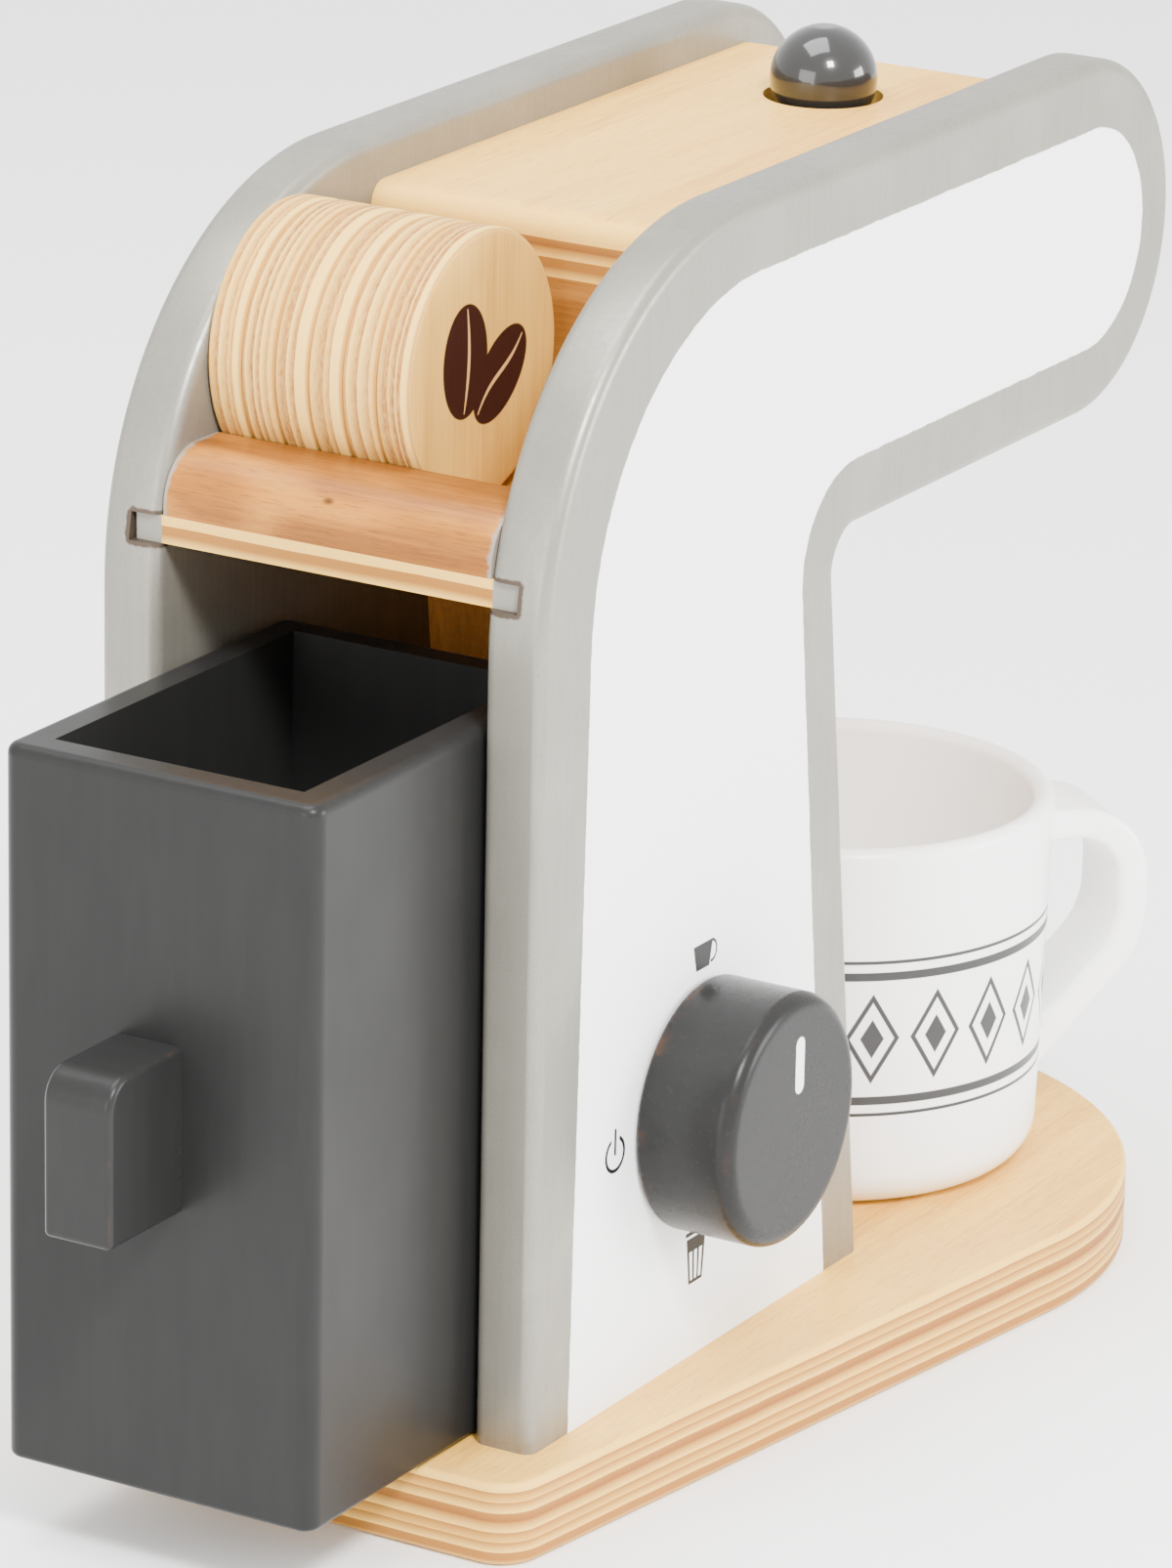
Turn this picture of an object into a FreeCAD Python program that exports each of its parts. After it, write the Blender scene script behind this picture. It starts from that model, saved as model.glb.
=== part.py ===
import FreeCAD, Part
import math
import os

V = FreeCAD.Vector

# Toy coffee maker of painted plywood, in millimetres.
# Origin: on the base underside, on the mid-plane, below the rear edge of the side panels.
# +Z is up, the cup side faces -Y, the drawer side faces +Y, the knob is on the -X side.

# Clearances
running_gap = 0.3        # between pieces that move past each other
slip_gap = 0.12          # between flat faces of loose pieces
screw_gap = 0.05         # radial room round a screw shank
guide_gap = 0.08         # radial room round a running dowel
past = 1.0               # how far a cut runs past the face that it opens
tiny = 1e-6

# Base board
base_thickness = 15.3
base_rear_y = 14.2
base_rear_half = 50.2
base_corner_radius = 8.0
tray_radius = 73.5
tray_centre_y = -152.5
base_roundover = 1.2

# Side panels
panel_thickness = 12.0
bay_width = 66.4
panel_top_z = 225.6
panel_rear_radius = 67.0
arm_depth = 68.0
arm_end_y = -194.0
leg_foot_y = -117.1
leg_lean = 7.0            # degrees that the front edge leans forward at the foot
leg_fillet = 8.0
panel_roundover = 2.4

# Pad shelf, rest strip and wall
shelf_thickness = 5.0
shelf_top_z = 172.1
shelf_rear_y = -2.2
shelf_tongue = 6.1
shelf_edge_radius = 0.75
strip_height = 11.1
strip_radius = 9.6
strip_front_y = -18.9
wall_thickness = 9.0

# Top of the arm
top_board_thickness = 12.0
top_board_drop = 8.1      # its top lies this far below the top of the panels
top_board_rear_y = -68.3
top_board_overhang = 11.0 # past the middle of the arm's round end
top_board_roundover = 4.0
arm_front_thickness = 12.0
arm_floor_thickness = 12.0
arm_setback = 1.5         # how far boards stand back from the panel edges
leg_board_thickness = 12.0

# Press button
button_setback = 21.5     # from the middle of the arm's round end
ball_diameter = 20.2
ball_rise = 3.3           # centre above the top board
ball_flat_diameter = 5.0
ball_hole_diameter = 22.5
button_travel = 8.0
dowel_diameter = 8.0
dowel_in_ball = 11.0
dowel_engagement = 3.0
dowel_chamfer = 0.6
flange_diameter = 30.0
flange_thickness = 5.0
guide_depth = 11.5
spring_wire = 1.0
spring_mean_diameter = 12.0
spring_turns = 7

# Spout
spout_diameter = 15.0
spout_tip_diameter = 9.0
spout_length = 14.0
spout_collar = 4.9
spout_tip_radius = 0.8
spout_bore = 4.0
spout_bore_depth = 9.0

# Knob
knob_y = -56.2
knob_z = 63.8
knob_diameter = 46.2
knob_height = 19.1
knob_front_roundover = 3.0
knob_rear_roundover = 1.2
knob_screw_diameter = 4.0
knob_screw_in_knob = 12.0
screw_head_diameter = 8.0
screw_head_height = 2.6
screw_head_radius = 1.0
washer_diameter = 10.0
washer_thickness = 1.0
counterbore_diameter = 10.8
counterbore_depth = 5.6

# Pull-out container
container_width = 63.2
container_depth = 86.9
container_height = 130.0
container_wall = 6.6
container_floor_thickness = 6.0
container_rear_y = 50.2
container_x = -0.6
container_corner_radius = 3.2
container_rim_radius = 2.0
container_foot_radius = 1.2
grip_width = 13.6
grip_height = 30.0
grip_depth = 21.5
grip_offset = 1.6        # from the middle of the rear wall, away from the knob
grip_top_radius = 6.0
grip_roundover = 1.2
grip_centre_z = 83.5
grip_screw_diameter = 3.5
grip_screw_in_grip = 12.0
grip_screw_pitch = 14.0
grip_head_diameter = 7.0

# Coffee pads
pad_count = 6
pad_diameter = 48.7
pad_thickness = 6.75
pad_roundover = 0.9

# Cup
cup_x = -12.4
cup_y = -163.3
cup_rim_diameter = 82.6
cup_foot_diameter = 79.4
cup_height = 72.2
cup_wall = 4.2
cup_floor = 6.0
cup_foot_radius = 8.0
cup_inner_radius = 6.0
cup_handle_angle = 50.0  # degrees from -X towards -Y
cup_handle_thickness = 20.0
cup_handle_reach = 19.6
cup_handle_top_z = 80.9
cup_handle_knee_z = 52.8
cup_handle_slant = 42.5   # degrees that the lower limb leans in from upright
cup_handle_band = 6.2
cup_handle_top_radius = 15.0
cup_handle_knee_radius = 21.0
cup_handle_roundover = 1.6

# Wood screws under the base
base_screw_diameter = 4.0
base_screw_head = 8.0
base_screw_length = 30.0
base_screw_recess = 0.6
base_screw_rear_y = -18.0
base_screw_front_y = -92.0

# Derived places
bay_half = bay_width / 2
outer_half = bay_half + panel_thickness
arm_z = panel_top_z - arm_depth
arm_radius = arm_depth / 2
lean = math.radians(leg_lean)
shelf_z = shelf_top_z - shelf_thickness
top_board_z = panel_top_z - top_board_drop
top_board_front_y = arm_end_y - top_board_overhang
button_y = arm_end_y + button_setback
ball_centre_z = top_board_z + ball_rise
arm_floor_z = arm_z + arm_setback
arm_floor_top_z = arm_floor_z + arm_floor_thickness
top_board_under_z = top_board_z - top_board_thickness
flange_top_z = top_board_under_z - slip_gap
flange_z = flange_top_z - flange_thickness
container_z = base_thickness + running_gap
container_front_y = container_rear_y - container_depth
grip_x = container_x + grip_offset
pad_z = shelf_top_z + running_gap + pad_diameter / 2
strip_top_z = shelf_top_z + strip_height
cup_z = base_thickness + slip_gap


def edge_line(y0, z0, y1, z1, x=0.0):
    return Part.LineSegment(V(x, y0, z0), V(x, y1, z1)).toShape()


def edge_arc(a, b, c, x=0.0):
    return Part.Arc(V(x, a[0], a[1]), V(x, b[0], b[1]), V(x, c[0], c[1])).toShape()


def on_circle(cy, cz, r, degrees):
    t = math.radians(degrees)
    return (cy + r * math.cos(t), cz + r * math.sin(t))


def block(x0, x1, y0, y1, z0, z1):
    return Part.makeBox(x1 - x0, y1 - y0, z1 - z0, V(x0, y0, z0))


def round_edges(shape, radius, wanted):
    edges = [e for e in shape.Edges if wanted(e)]
    return shape.makeFillet(radius, edges)


def middle(edge):
    return edge.valueAt((edge.FirstParameter + edge.LastParameter) / 2)


def closed_at(edge, z):
    # a full circle at this height
    return len(edge.Vertexes) == 1 and abs(middle(edge).z - z) < tiny


def leg_edge_y(z):
    return leg_foot_y + (z - base_thickness) * math.tan(lean)


def export(shape, name):
    shape.exportStep("parts/" + name + ".step")
    print(name, len(shape.Solids), round(shape.Volume, 1), shape.isValid())


def base_outline():
    d = math.hypot(base_rear_half, base_rear_y - tray_centre_y)
    toward = math.atan2(base_rear_y - tray_centre_y, base_rear_half)
    tangent = toward - math.acos(tray_radius / d)
    tx = tray_radius * math.cos(tangent)
    ty = tray_centre_y + tray_radius * math.sin(tangent)
    front = (0.0, tray_centre_y - tray_radius)
    corner = V(base_rear_half, base_rear_y, 0)
    down = (V(tx, ty, 0) - corner).normalize()
    inward = V(-1, 0, 0)
    half = down.getAngle(inward) / 2
    reach = base_corner_radius / math.tan(half)
    p = corner + inward * reach
    q = corner + down * reach
    across = (down + inward).normalize()
    m = corner + across * (base_corner_radius / math.sin(half) - base_corner_radius)

    def mirrored(v):
        return V(-v.x, v.y, 0)

    t = V(tx, ty, 0)
    edges = [Part.LineSegment(mirrored(p), p).toShape()]
    edges.append(Part.Arc(p, m, q).toShape())
    edges.append(Part.LineSegment(q, t).toShape())
    edges.append(Part.Arc(t, V(front[0], front[1], 0), mirrored(t)).toShape())
    edges.append(Part.LineSegment(mirrored(t), mirrored(q)).toShape())
    edges.append(Part.Arc(mirrored(q), mirrored(m), mirrored(p)).toShape())
    return Part.Wire(edges)


def base_screw_places():
    x = bay_half + panel_thickness / 2
    return [(sx * x, y) for sx in (-1, 1) for y in (base_screw_rear_y, base_screw_front_y)]


def base_screw(x, y, grow=0.0):
    r = base_screw_diameter / 2 + grow
    head = base_screw_head / 2 + grow
    cone = Part.makeCone(head, r, head - r, V(x, y, base_screw_recess))
    shank = Part.makeCylinder(r, base_screw_length + grow, V(x, y, base_screw_recess))
    return cone.fuse(shank).removeSplitter()


def make_base_board():
    solid = Part.Face(base_outline()).extrude(V(0, 0, base_thickness))
    solid = solid.makeFillet(base_roundover, [e for e in solid.Edges if abs(middle(e).z) < tiny
                                              or abs(middle(e).z - base_thickness) < tiny])
    for x, y in base_screw_places():
        solid = solid.cut(base_screw(x, y, screw_gap))
        mouth = base_screw_head / 2 + screw_gap
        solid = solid.cut(Part.makeCylinder(mouth, base_screw_recess, V(x, y, 0)))
    return solid


def make_base_screws():
    return Part.makeCompound([base_screw(x, y) for x, y in base_screw_places()])


def panel_face():
    top = panel_top_z
    zb = base_thickness
    r = panel_rear_radius
    corner = (leg_edge_y(arm_z), arm_z)
    along = (-1.0, 0.0)
    down = (-math.sin(lean), -math.cos(lean))
    half = (math.pi / 2 - lean) / 2
    reach = leg_fillet / math.tan(half)
    p = (corner[0] + along[0] * reach, corner[1])
    q = (corner[0] + down[0] * reach, corner[1] + down[1] * reach)
    bx = along[0] + down[0]
    bz = along[1] + down[1]
    n = math.hypot(bx, bz)
    inset = leg_fillet / math.sin(half) - leg_fillet
    m = (corner[0] + bx / n * inset, corner[1] + bz / n * inset)
    edges = [edge_line(0, zb, 0, top - r)]
    edges.append(edge_arc((0, top - r), on_circle(-r, top - r, r, 45), (-r, top)))
    edges.append(edge_line(-r, top, arm_end_y, top))
    nose = (arm_end_y - arm_radius, top - arm_radius)
    edges.append(edge_arc((arm_end_y, top), nose, (arm_end_y, arm_z)))
    edges.append(edge_line(arm_end_y, arm_z, p[0], p[1]))
    edges.append(edge_arc(p, m, q))
    edges.append(edge_line(q[0], q[1], leg_foot_y, zb))
    edges.append(edge_line(leg_foot_y, zb, 0, zb))
    return Part.Face(Part.Wire(edges))


def make_panel(side):
    # side is -1 for the knob panel and 1 for the plain one
    solid = panel_face().extrude(V(panel_thickness, 0, 0))
    solid.translate(V(bay_half if side > 0 else -outer_half, 0, 0))
    solid = round_edges(solid, panel_roundover, lambda e: middle(e).z > base_thickness + tiny
                        and e.BoundBox.XLength < tiny)
    groove_x = sorted((side * bay_half, side * (bay_half + shelf_tongue)))
    groove = block(groove_x[0], groove_x[1], shelf_front_y(), past, shelf_z, shelf_top_z)
    solid = solid.cut(groove)
    for x, y in base_screw_places():
        solid = solid.cut(base_screw(x, y, screw_gap))
    if side < 0:
        axis = V(1, 0, 0)
        outer = V(-outer_half - past, knob_y, knob_z)
        bore = Part.makeCylinder(knob_screw_diameter / 2 + guide_gap, panel_thickness + 2 * past, outer, axis)
        start = V(-bay_half - counterbore_depth, knob_y, knob_z)
        sink = Part.makeCylinder(counterbore_diameter / 2, counterbore_depth + past, start, axis)
        solid = solid.cut(bore).cut(sink)
    return solid


def shelf_front_y():
    # the shelf ends against the back of the leg board, whose face leans
    return leg_edge_y(shelf_top_z) + arm_setback + leg_board_thickness / math.cos(lean)


def make_pad_shelf():
    reach = bay_half + shelf_tongue - slip_gap
    board = block(-reach, reach, shelf_front_y(), shelf_rear_y, shelf_z, shelf_top_z)
    return round_edges(board, shelf_edge_radius, lambda e: abs(middle(e).y - shelf_rear_y) < tiny
                       and e.BoundBox.XLength < tiny)


def make_rest_strip():
    z0 = shelf_top_z
    z1 = strip_top_z
    y0 = shelf_rear_y
    r = strip_radius
    edges = [edge_line(strip_front_y, z0, y0, z0)]
    edges.append(edge_line(y0, z0, y0, z1 - r))
    edges.append(edge_arc((y0, z1 - r), on_circle(y0 - r, z1 - r, r, 45), (y0 - r, z1)))
    edges.append(edge_line(y0 - r, z1, strip_front_y, z1))
    edges.append(edge_line(strip_front_y, z1, strip_front_y, z0))
    solid = Part.Face(Part.Wire(edges)).extrude(V(bay_width, 0, 0))
    solid.translate(V(-bay_half, 0, 0))
    return solid


def make_pad_wall():
    y1 = top_board_rear_y
    return block(-bay_half, bay_half, y1 - wall_thickness, y1, shelf_top_z, top_board_under_z)


def make_top_board():
    board = block(-bay_half, bay_half, top_board_front_y, top_board_rear_y, top_board_under_z, top_board_z)
    board = round_edges(board, top_board_roundover, lambda e: abs(middle(e).z - top_board_z) < tiny
                        and (abs(middle(e).y - top_board_rear_y) < tiny
                             or abs(middle(e).y - top_board_front_y) < tiny))
    hole = Part.makeCylinder(ball_hole_diameter / 2, top_board_thickness + 2 * past,
                             V(0, button_y, top_board_under_z - past))
    return board.cut(hole)


def make_arm_front():
    y0 = top_board_front_y
    return block(-bay_half, bay_half, y0, y0 + arm_front_thickness, arm_floor_top_z, top_board_under_z)


def leg_board_section(z0, z1):
    run = leg_board_thickness / math.cos(lean)
    f0 = leg_edge_y(z0) + arm_setback
    f1 = leg_edge_y(z1) + arm_setback
    edges = [edge_line(f0, z0, f0 + run, z0), edge_line(f0 + run, z0, f1 + run, z1)]
    edges += [edge_line(f1 + run, z1, f1, z1), edge_line(f1, z1, f0, z0)]
    return Part.Face(Part.Wire(edges))


def make_leg_front():
    solid = leg_board_section(base_thickness, arm_floor_top_z).extrude(V(bay_width, 0, 0))
    solid.translate(V(-bay_half, 0, 0))
    return solid


def make_arm_floor():
    board = block(-bay_half, bay_half, top_board_front_y, leg_edge_y(arm_floor_top_z) + arm_setback + past,
                  arm_floor_z, arm_floor_top_z)
    board = board.cut(make_leg_front())
    board = max(board.Solids, key=lambda s: s.Volume)
    guide = Part.makeCylinder(dowel_diameter / 2 + guide_gap, guide_depth + past,
                              V(0, button_y, arm_floor_top_z - guide_depth))
    return board.cut(guide)


def make_spout():
    r0 = spout_tip_diameter / 2
    r1 = spout_diameter / 2
    z1 = arm_floor_z
    z0 = z1 - spout_length
    collar = z1 - spout_collar
    points = [(0, z0), (r0, z0), (r1, collar), (r1, z1), (0, z1), (0, z0)]
    edges = [Part.LineSegment(V(a[0], 0, a[1]), V(b[0], 0, b[1])).toShape() for a, b in zip(points, points[1:])]
    body = Part.Face(Part.Wire(edges)).revolve(V(0, 0, 0), V(0, 0, 1), 360)
    body = round_edges(body, spout_tip_radius, lambda e: closed_at(e, z0))
    body = body.cut(Part.makeCylinder(spout_bore / 2, spout_bore_depth + past, V(0, 0, z0 - past)))
    body.translate(V(0, button_y, 0))
    return body


def make_ball():
    r = ball_diameter / 2
    ball = Part.makeSphere(r, V(0, button_y, ball_centre_z))
    drop = r - math.sqrt(r * r - (ball_flat_diameter / 2) ** 2)
    lid = block(-r, r, button_y - r, button_y + r, ball_centre_z + r - drop, ball_centre_z + r + past)
    bottom = ball_centre_z - r
    socket = Part.makeCylinder(dowel_diameter / 2, dowel_in_ball + past, V(0, button_y, bottom - past))
    return ball.cut(lid).cut(socket)


def dowel_top_z():
    return ball_centre_z - ball_diameter / 2 + dowel_in_ball


def make_dowel():
    z0 = arm_floor_top_z - dowel_engagement
    dowel = Part.makeCylinder(dowel_diameter / 2, dowel_top_z() - z0, V(0, button_y, z0))
    return dowel.makeChamfer(dowel_chamfer, [e for e in dowel.Edges if closed_at(e, z0)])


def make_flange():
    disc = Part.makeCylinder(flange_diameter / 2, flange_thickness, V(0, button_y, flange_z))
    return disc.cut(Part.makeCylinder(dowel_diameter / 2, flange_thickness + 2 * past,
                                      V(0, button_y, flange_z - past)))


def make_spring():
    # each quarter turn is an arc through three points of the helix
    r = spring_mean_diameter / 2
    low = arm_floor_top_z + spring_wire / 2 + slip_gap
    high = flange_z - spring_wire / 2 - slip_gap
    rise = (high - low) / spring_turns

    def helix(turn):
        t = 2 * math.pi * turn
        return V(r * math.cos(t), button_y + r * math.sin(t), low + rise * turn)

    steps = 4 * spring_turns
    edges = []
    for i in range(steps):
        a, b = i / 4, (i + 1) / 4
        edges.append(Part.Arc(helix(a), helix((a + b) / 2), helix(b)).toShape())
    path = Part.Wire(edges)
    tangent = edges[0].tangentAt(edges[0].FirstParameter)
    ring = Part.Wire(Part.Circle(helix(0), tangent, spring_wire / 2).toShape())
    coil = path.makePipeShell([ring], True, False)
    return coil


def make_knob():
    face = -outer_half - running_gap
    knob = Part.makeCylinder(knob_diameter / 2, knob_height, V(face - knob_height, knob_y, knob_z), V(1, 0, 0))
    front = [e for e in knob.Edges if abs(middle(e).x - (face - knob_height)) < tiny and len(e.Vertexes) == 1]
    knob = knob.makeFillet(knob_front_roundover, front)
    rear = [e for e in knob.Edges if abs(middle(e).x - face) < tiny and len(e.Vertexes) == 1]
    knob = knob.makeFillet(knob_rear_roundover, rear)
    hole = Part.makeCylinder(knob_screw_diameter / 2, knob_screw_in_knob + past,
                             V(face - knob_screw_in_knob, knob_y, knob_z), V(1, 0, 0))
    return knob.cut(hole)


def washer_x():
    return -bay_half - counterbore_depth + slip_gap


def make_knob_washer():
    axis = V(1, 0, 0)
    start = V(washer_x(), knob_y, knob_z)
    ring = Part.makeCylinder(washer_diameter / 2, washer_thickness, start, axis)
    return ring.cut(Part.makeCylinder(knob_screw_diameter / 2, washer_thickness, start, axis))


def make_knob_screw():
    axis = V(1, 0, 0)
    tip = -outer_half - running_gap - knob_screw_in_knob
    head_x = washer_x() + washer_thickness
    shank = Part.makeCylinder(knob_screw_diameter / 2, head_x - tip, V(tip, knob_y, knob_z), axis)
    head = Part.makeCylinder(screw_head_diameter / 2, screw_head_height, V(head_x, knob_y, knob_z), axis)
    rim = [e for e in head.Edges if abs(middle(e).x - head_x - screw_head_height) < tiny and len(e.Vertexes) == 1]
    head = head.makeFillet(screw_head_radius, rim)
    return shank.fuse(head)


def container_shell():
    w = container_width / 2
    x0, x1 = container_x - w, container_x + w
    y0, y1 = container_front_y, container_rear_y
    z0, z1 = container_z, container_z + container_height
    t = container_wall
    outer = block(x0, x1, y0, y1, z0, z1)
    outer = round_edges(outer, container_corner_radius, lambda e: e.BoundBox.ZLength > container_height - past)
    outer = round_edges(outer, container_rim_radius, lambda e: abs(middle(e).z - z1) < tiny)
    outer = round_edges(outer, container_foot_radius, lambda e: abs(middle(e).z - z0) < tiny)
    inner = block(x0 + t, x1 - t, y0 + t, y1 - t, z0 + container_floor_thickness, z1 + past)
    return outer.cut(inner)


def container_pieces():
    w = container_width / 2
    x0, x1 = container_x - w, container_x + w
    y0, y1 = container_front_y, container_rear_y
    z0, z1 = container_z, container_z + container_height
    t = container_wall
    shell = container_shell()
    rear = shell.common(block(x0, x1, y1 - t, y1, z0, z1))
    front = shell.common(block(x0, x1, y0, y0 + t, z0, z1))
    near = shell.common(block(x0, x0 + t, y0 + t, y1 - t, z0, z1))
    far = shell.common(block(x1 - t, x1, y0 + t, y1 - t, z0, z1))
    floor = shell.common(block(x0 + t, x1 - t, y0 + t, y1 - t, z0, z0 + container_floor_thickness))
    return rear, front, near, far, floor


def grip_screw(z, grow=0.0):
    axis = V(0, 1, 0)
    r = grip_screw_diameter / 2 + grow
    head_r = grip_head_diameter / 2 + grow
    start = container_rear_y - container_wall
    shank = Part.makeCylinder(r, container_wall + grip_screw_in_grip, V(grip_x, start, z), axis)
    head = Part.makeCone(head_r, r, head_r - r, V(grip_x, start, z), axis)
    return shank.fuse(head).removeSplitter()


def grip_screw_heights():
    return [grip_centre_z - grip_screw_pitch / 2, grip_centre_z + grip_screw_pitch / 2]


def make_grip():
    w = grip_width / 2
    y0 = container_rear_y
    z0, z1 = grip_centre_z - grip_height / 2, grip_centre_z + grip_height / 2
    grip = block(grip_x - w, grip_x + w, y0, y0 + grip_depth, z0, z1)

    def outer_top(e):
        m = middle(e)
        return abs(m.y - y0 - grip_depth) < tiny and abs(m.z - z1) < tiny

    grip = round_edges(grip, grip_top_radius, outer_top)
    grip = round_edges(grip, grip_roundover, lambda e: middle(e).y > y0 + tiny)
    for z in grip_screw_heights():
        grip = grip.cut(grip_screw(z))
    return grip


def pad_y():
    # the pads lie on the shelf, close to the upper edge of the rest strip
    below = pad_z - strip_top_z
    return strip_front_y - running_gap - math.sqrt((pad_diameter / 2) ** 2 - below ** 2)


def make_pad(index):
    right = bay_half - running_gap - index * (pad_thickness + slip_gap)
    start = V(right - pad_thickness, pad_y(), pad_z)
    pad = Part.makeCylinder(pad_diameter / 2, pad_thickness, start, V(1, 0, 0))
    return pad.makeFillet(pad_roundover, [e for e in pad.Edges if len(e.Vertexes) == 1])


def cup_outside():
    # the outline from the middle of the foot up to the top of the lip
    r0, r1 = cup_foot_diameter / 2, cup_rim_diameter / 2
    f = cup_foot_radius
    lip = cup_wall / 2
    h = cup_height
    turn = on_circle(r0 - f, f, f, -45)
    edges = [round_line((0, 0), (r0 - f, 0))]
    edges.append(round_arc((r0 - f, 0), turn, (r0, f)))
    edges.append(round_line((r0, f), (r1, h - lip)))
    return edges


def round_line(a, b):
    return Part.LineSegment(V(a[0], 0, a[1]), V(b[0], 0, b[1])).toShape()


def round_arc(a, b, c):
    return Part.Arc(V(a[0], 0, a[1]), V(b[0], 0, b[1]), V(c[0], 0, c[1])).toShape()


def turned(edges):
    solid = Part.Face(Part.Wire(edges)).revolve(V(0, 0, 0), V(0, 0, 1), 360)
    solid.translate(V(cup_x, cup_y, cup_z))
    return solid


def make_cup_body():
    r1 = cup_rim_diameter / 2
    g = cup_inner_radius
    t = cup_wall
    top = cup_height - t / 2
    q = cup_foot_diameter / 2 - t
    turn = on_circle(q - g, cup_floor + g, g, -45)
    edges = cup_outside()
    edges.append(round_arc((r1, top), (r1 - t / 2, cup_height), (r1 - t, top)))
    edges.append(round_line((r1 - t, top), (q, cup_floor + g)))
    edges.append(round_arc((q, cup_floor + g), turn, (q - g, cup_floor)))
    edges.append(round_line((q - g, cup_floor), (0, cup_floor)))
    edges.append(round_line((0, cup_floor), (0, 0)))
    return turned(edges)


def filled_cup():
    top = cup_height - cup_wall / 2
    edges = cup_outside()
    edges.append(round_line((cup_rim_diameter / 2, top), (0, top)))
    edges.append(round_line((0, top), (0, 0)))
    return turned(edges)


def ear(root, out, top, knee, top_radius, knee_radius):
    # a board with a level top, an upright side and a limb that slants back in; s runs out from the cup's axis
    slope = math.tan(math.radians(cup_handle_slant))
    points = [(root, top), (out, top), (out, knee), (root, knee - (out - root) / slope), (root, top)]
    edges = [round_line(a, b) for a, b in zip(points, points[1:])]
    board = Part.Face(Part.Wire(edges)).extrude(V(0, cup_handle_thickness, 0))
    board = round_edges(board, top_radius, lambda e: corner_edge(e, out, top))
    return round_edges(board, knee_radius, lambda e: corner_edge(e, out, knee))


def corner_edge(edge, s, z):
    m = middle(edge)
    return edge.BoundBox.YLength > cup_handle_thickness / 2 and abs(m.x - s) < tiny and abs(m.z - z) < tiny


def make_cup_handle():
    b = cup_handle_band
    root = cup_foot_diameter / 2 - cup_wall
    out = cup_rim_diameter / 2 + cup_handle_reach
    top = cup_handle_top_z
    knee = cup_handle_knee_z
    inner_knee = knee + b * math.tan(math.radians(cup_handle_slant) / 2)
    outer = ear(root, out, top, knee, cup_handle_top_radius, cup_handle_knee_radius)
    inner = ear(root - past, out - b, top - b, inner_knee, cup_handle_top_radius - b, cup_handle_knee_radius - b)
    solid = outer.cut(inner)
    solid = round_edges(solid, cup_handle_roundover, lambda e: e.BoundBox.YLength < tiny
                        and middle(e).x > root + tiny)
    solid.translate(V(0, -cup_handle_thickness / 2, 0))
    solid.rotate(V(0, 0, 0), V(0, 0, 1), 180 + cup_handle_angle)
    solid.translate(V(cup_x, cup_y, 0))
    return solid.cut(filled_cup())


os.makedirs("parts", exist_ok=True)

export(make_base_board(), "base_board")
export(make_base_screws(), "base_screws")
export(make_panel(-1), "knob_side_panel")
export(make_panel(1), "plain_side_panel")
export(make_leg_front(), "leg_front_board")
export(make_pad_shelf(), "pad_shelf")
export(make_rest_strip(), "pad_rest_strip")
export(make_pad_wall(), "pad_bay_wall")
export(make_top_board(), "top_board")
export(make_arm_front(), "arm_front_board")
export(make_arm_floor(), "arm_floor_board")
export(make_spout(), "spout")
export(make_ball(), "button_ball")
export(make_dowel(), "button_dowel")
export(make_flange(), "button_flange")
export(make_spring(), "button_spring")
export(make_knob(), "knob")
export(make_knob_washer(), "knob_washer")
export(make_knob_screw(), "knob_screw")

rear_wall, front_wall, near_wall, far_wall, floor_board = container_pieces()
for height in grip_screw_heights():
    rear_wall = rear_wall.cut(grip_screw(height))
export(rear_wall, "container_rear")
export(front_wall, "container_front")
export(near_wall, "container_near_side")
export(far_wall, "container_far_side")
export(floor_board, "container_floor")
export(make_grip(), "container_grip")
export(Part.makeCompound([grip_screw(z) for z in grip_screw_heights()]), "grip_screws")

for number in range(pad_count):
    export(make_pad(number), "coffee_pad_%d" % (number + 1))

export(make_cup_body(), "cup_body")
export(make_cup_handle(), "cup_handle")
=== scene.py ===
import bpy
import bmesh
import math
from mathutils import Matrix, Vector


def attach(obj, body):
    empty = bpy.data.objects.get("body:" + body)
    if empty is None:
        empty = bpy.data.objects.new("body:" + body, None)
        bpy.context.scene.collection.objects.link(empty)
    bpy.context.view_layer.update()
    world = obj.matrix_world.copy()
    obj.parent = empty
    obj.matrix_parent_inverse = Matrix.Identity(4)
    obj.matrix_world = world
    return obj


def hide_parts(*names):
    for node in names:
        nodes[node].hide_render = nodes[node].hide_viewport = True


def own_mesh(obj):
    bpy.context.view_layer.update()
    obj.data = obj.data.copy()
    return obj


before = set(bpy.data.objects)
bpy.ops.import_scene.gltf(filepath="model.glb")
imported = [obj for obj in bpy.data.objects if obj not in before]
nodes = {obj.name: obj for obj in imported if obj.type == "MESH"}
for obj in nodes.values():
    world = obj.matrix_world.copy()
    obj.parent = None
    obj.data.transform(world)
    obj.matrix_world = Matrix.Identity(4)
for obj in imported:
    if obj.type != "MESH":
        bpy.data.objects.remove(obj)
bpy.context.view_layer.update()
mm = 0.001
print("frame loaded,", len(nodes), "nodes")


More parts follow.
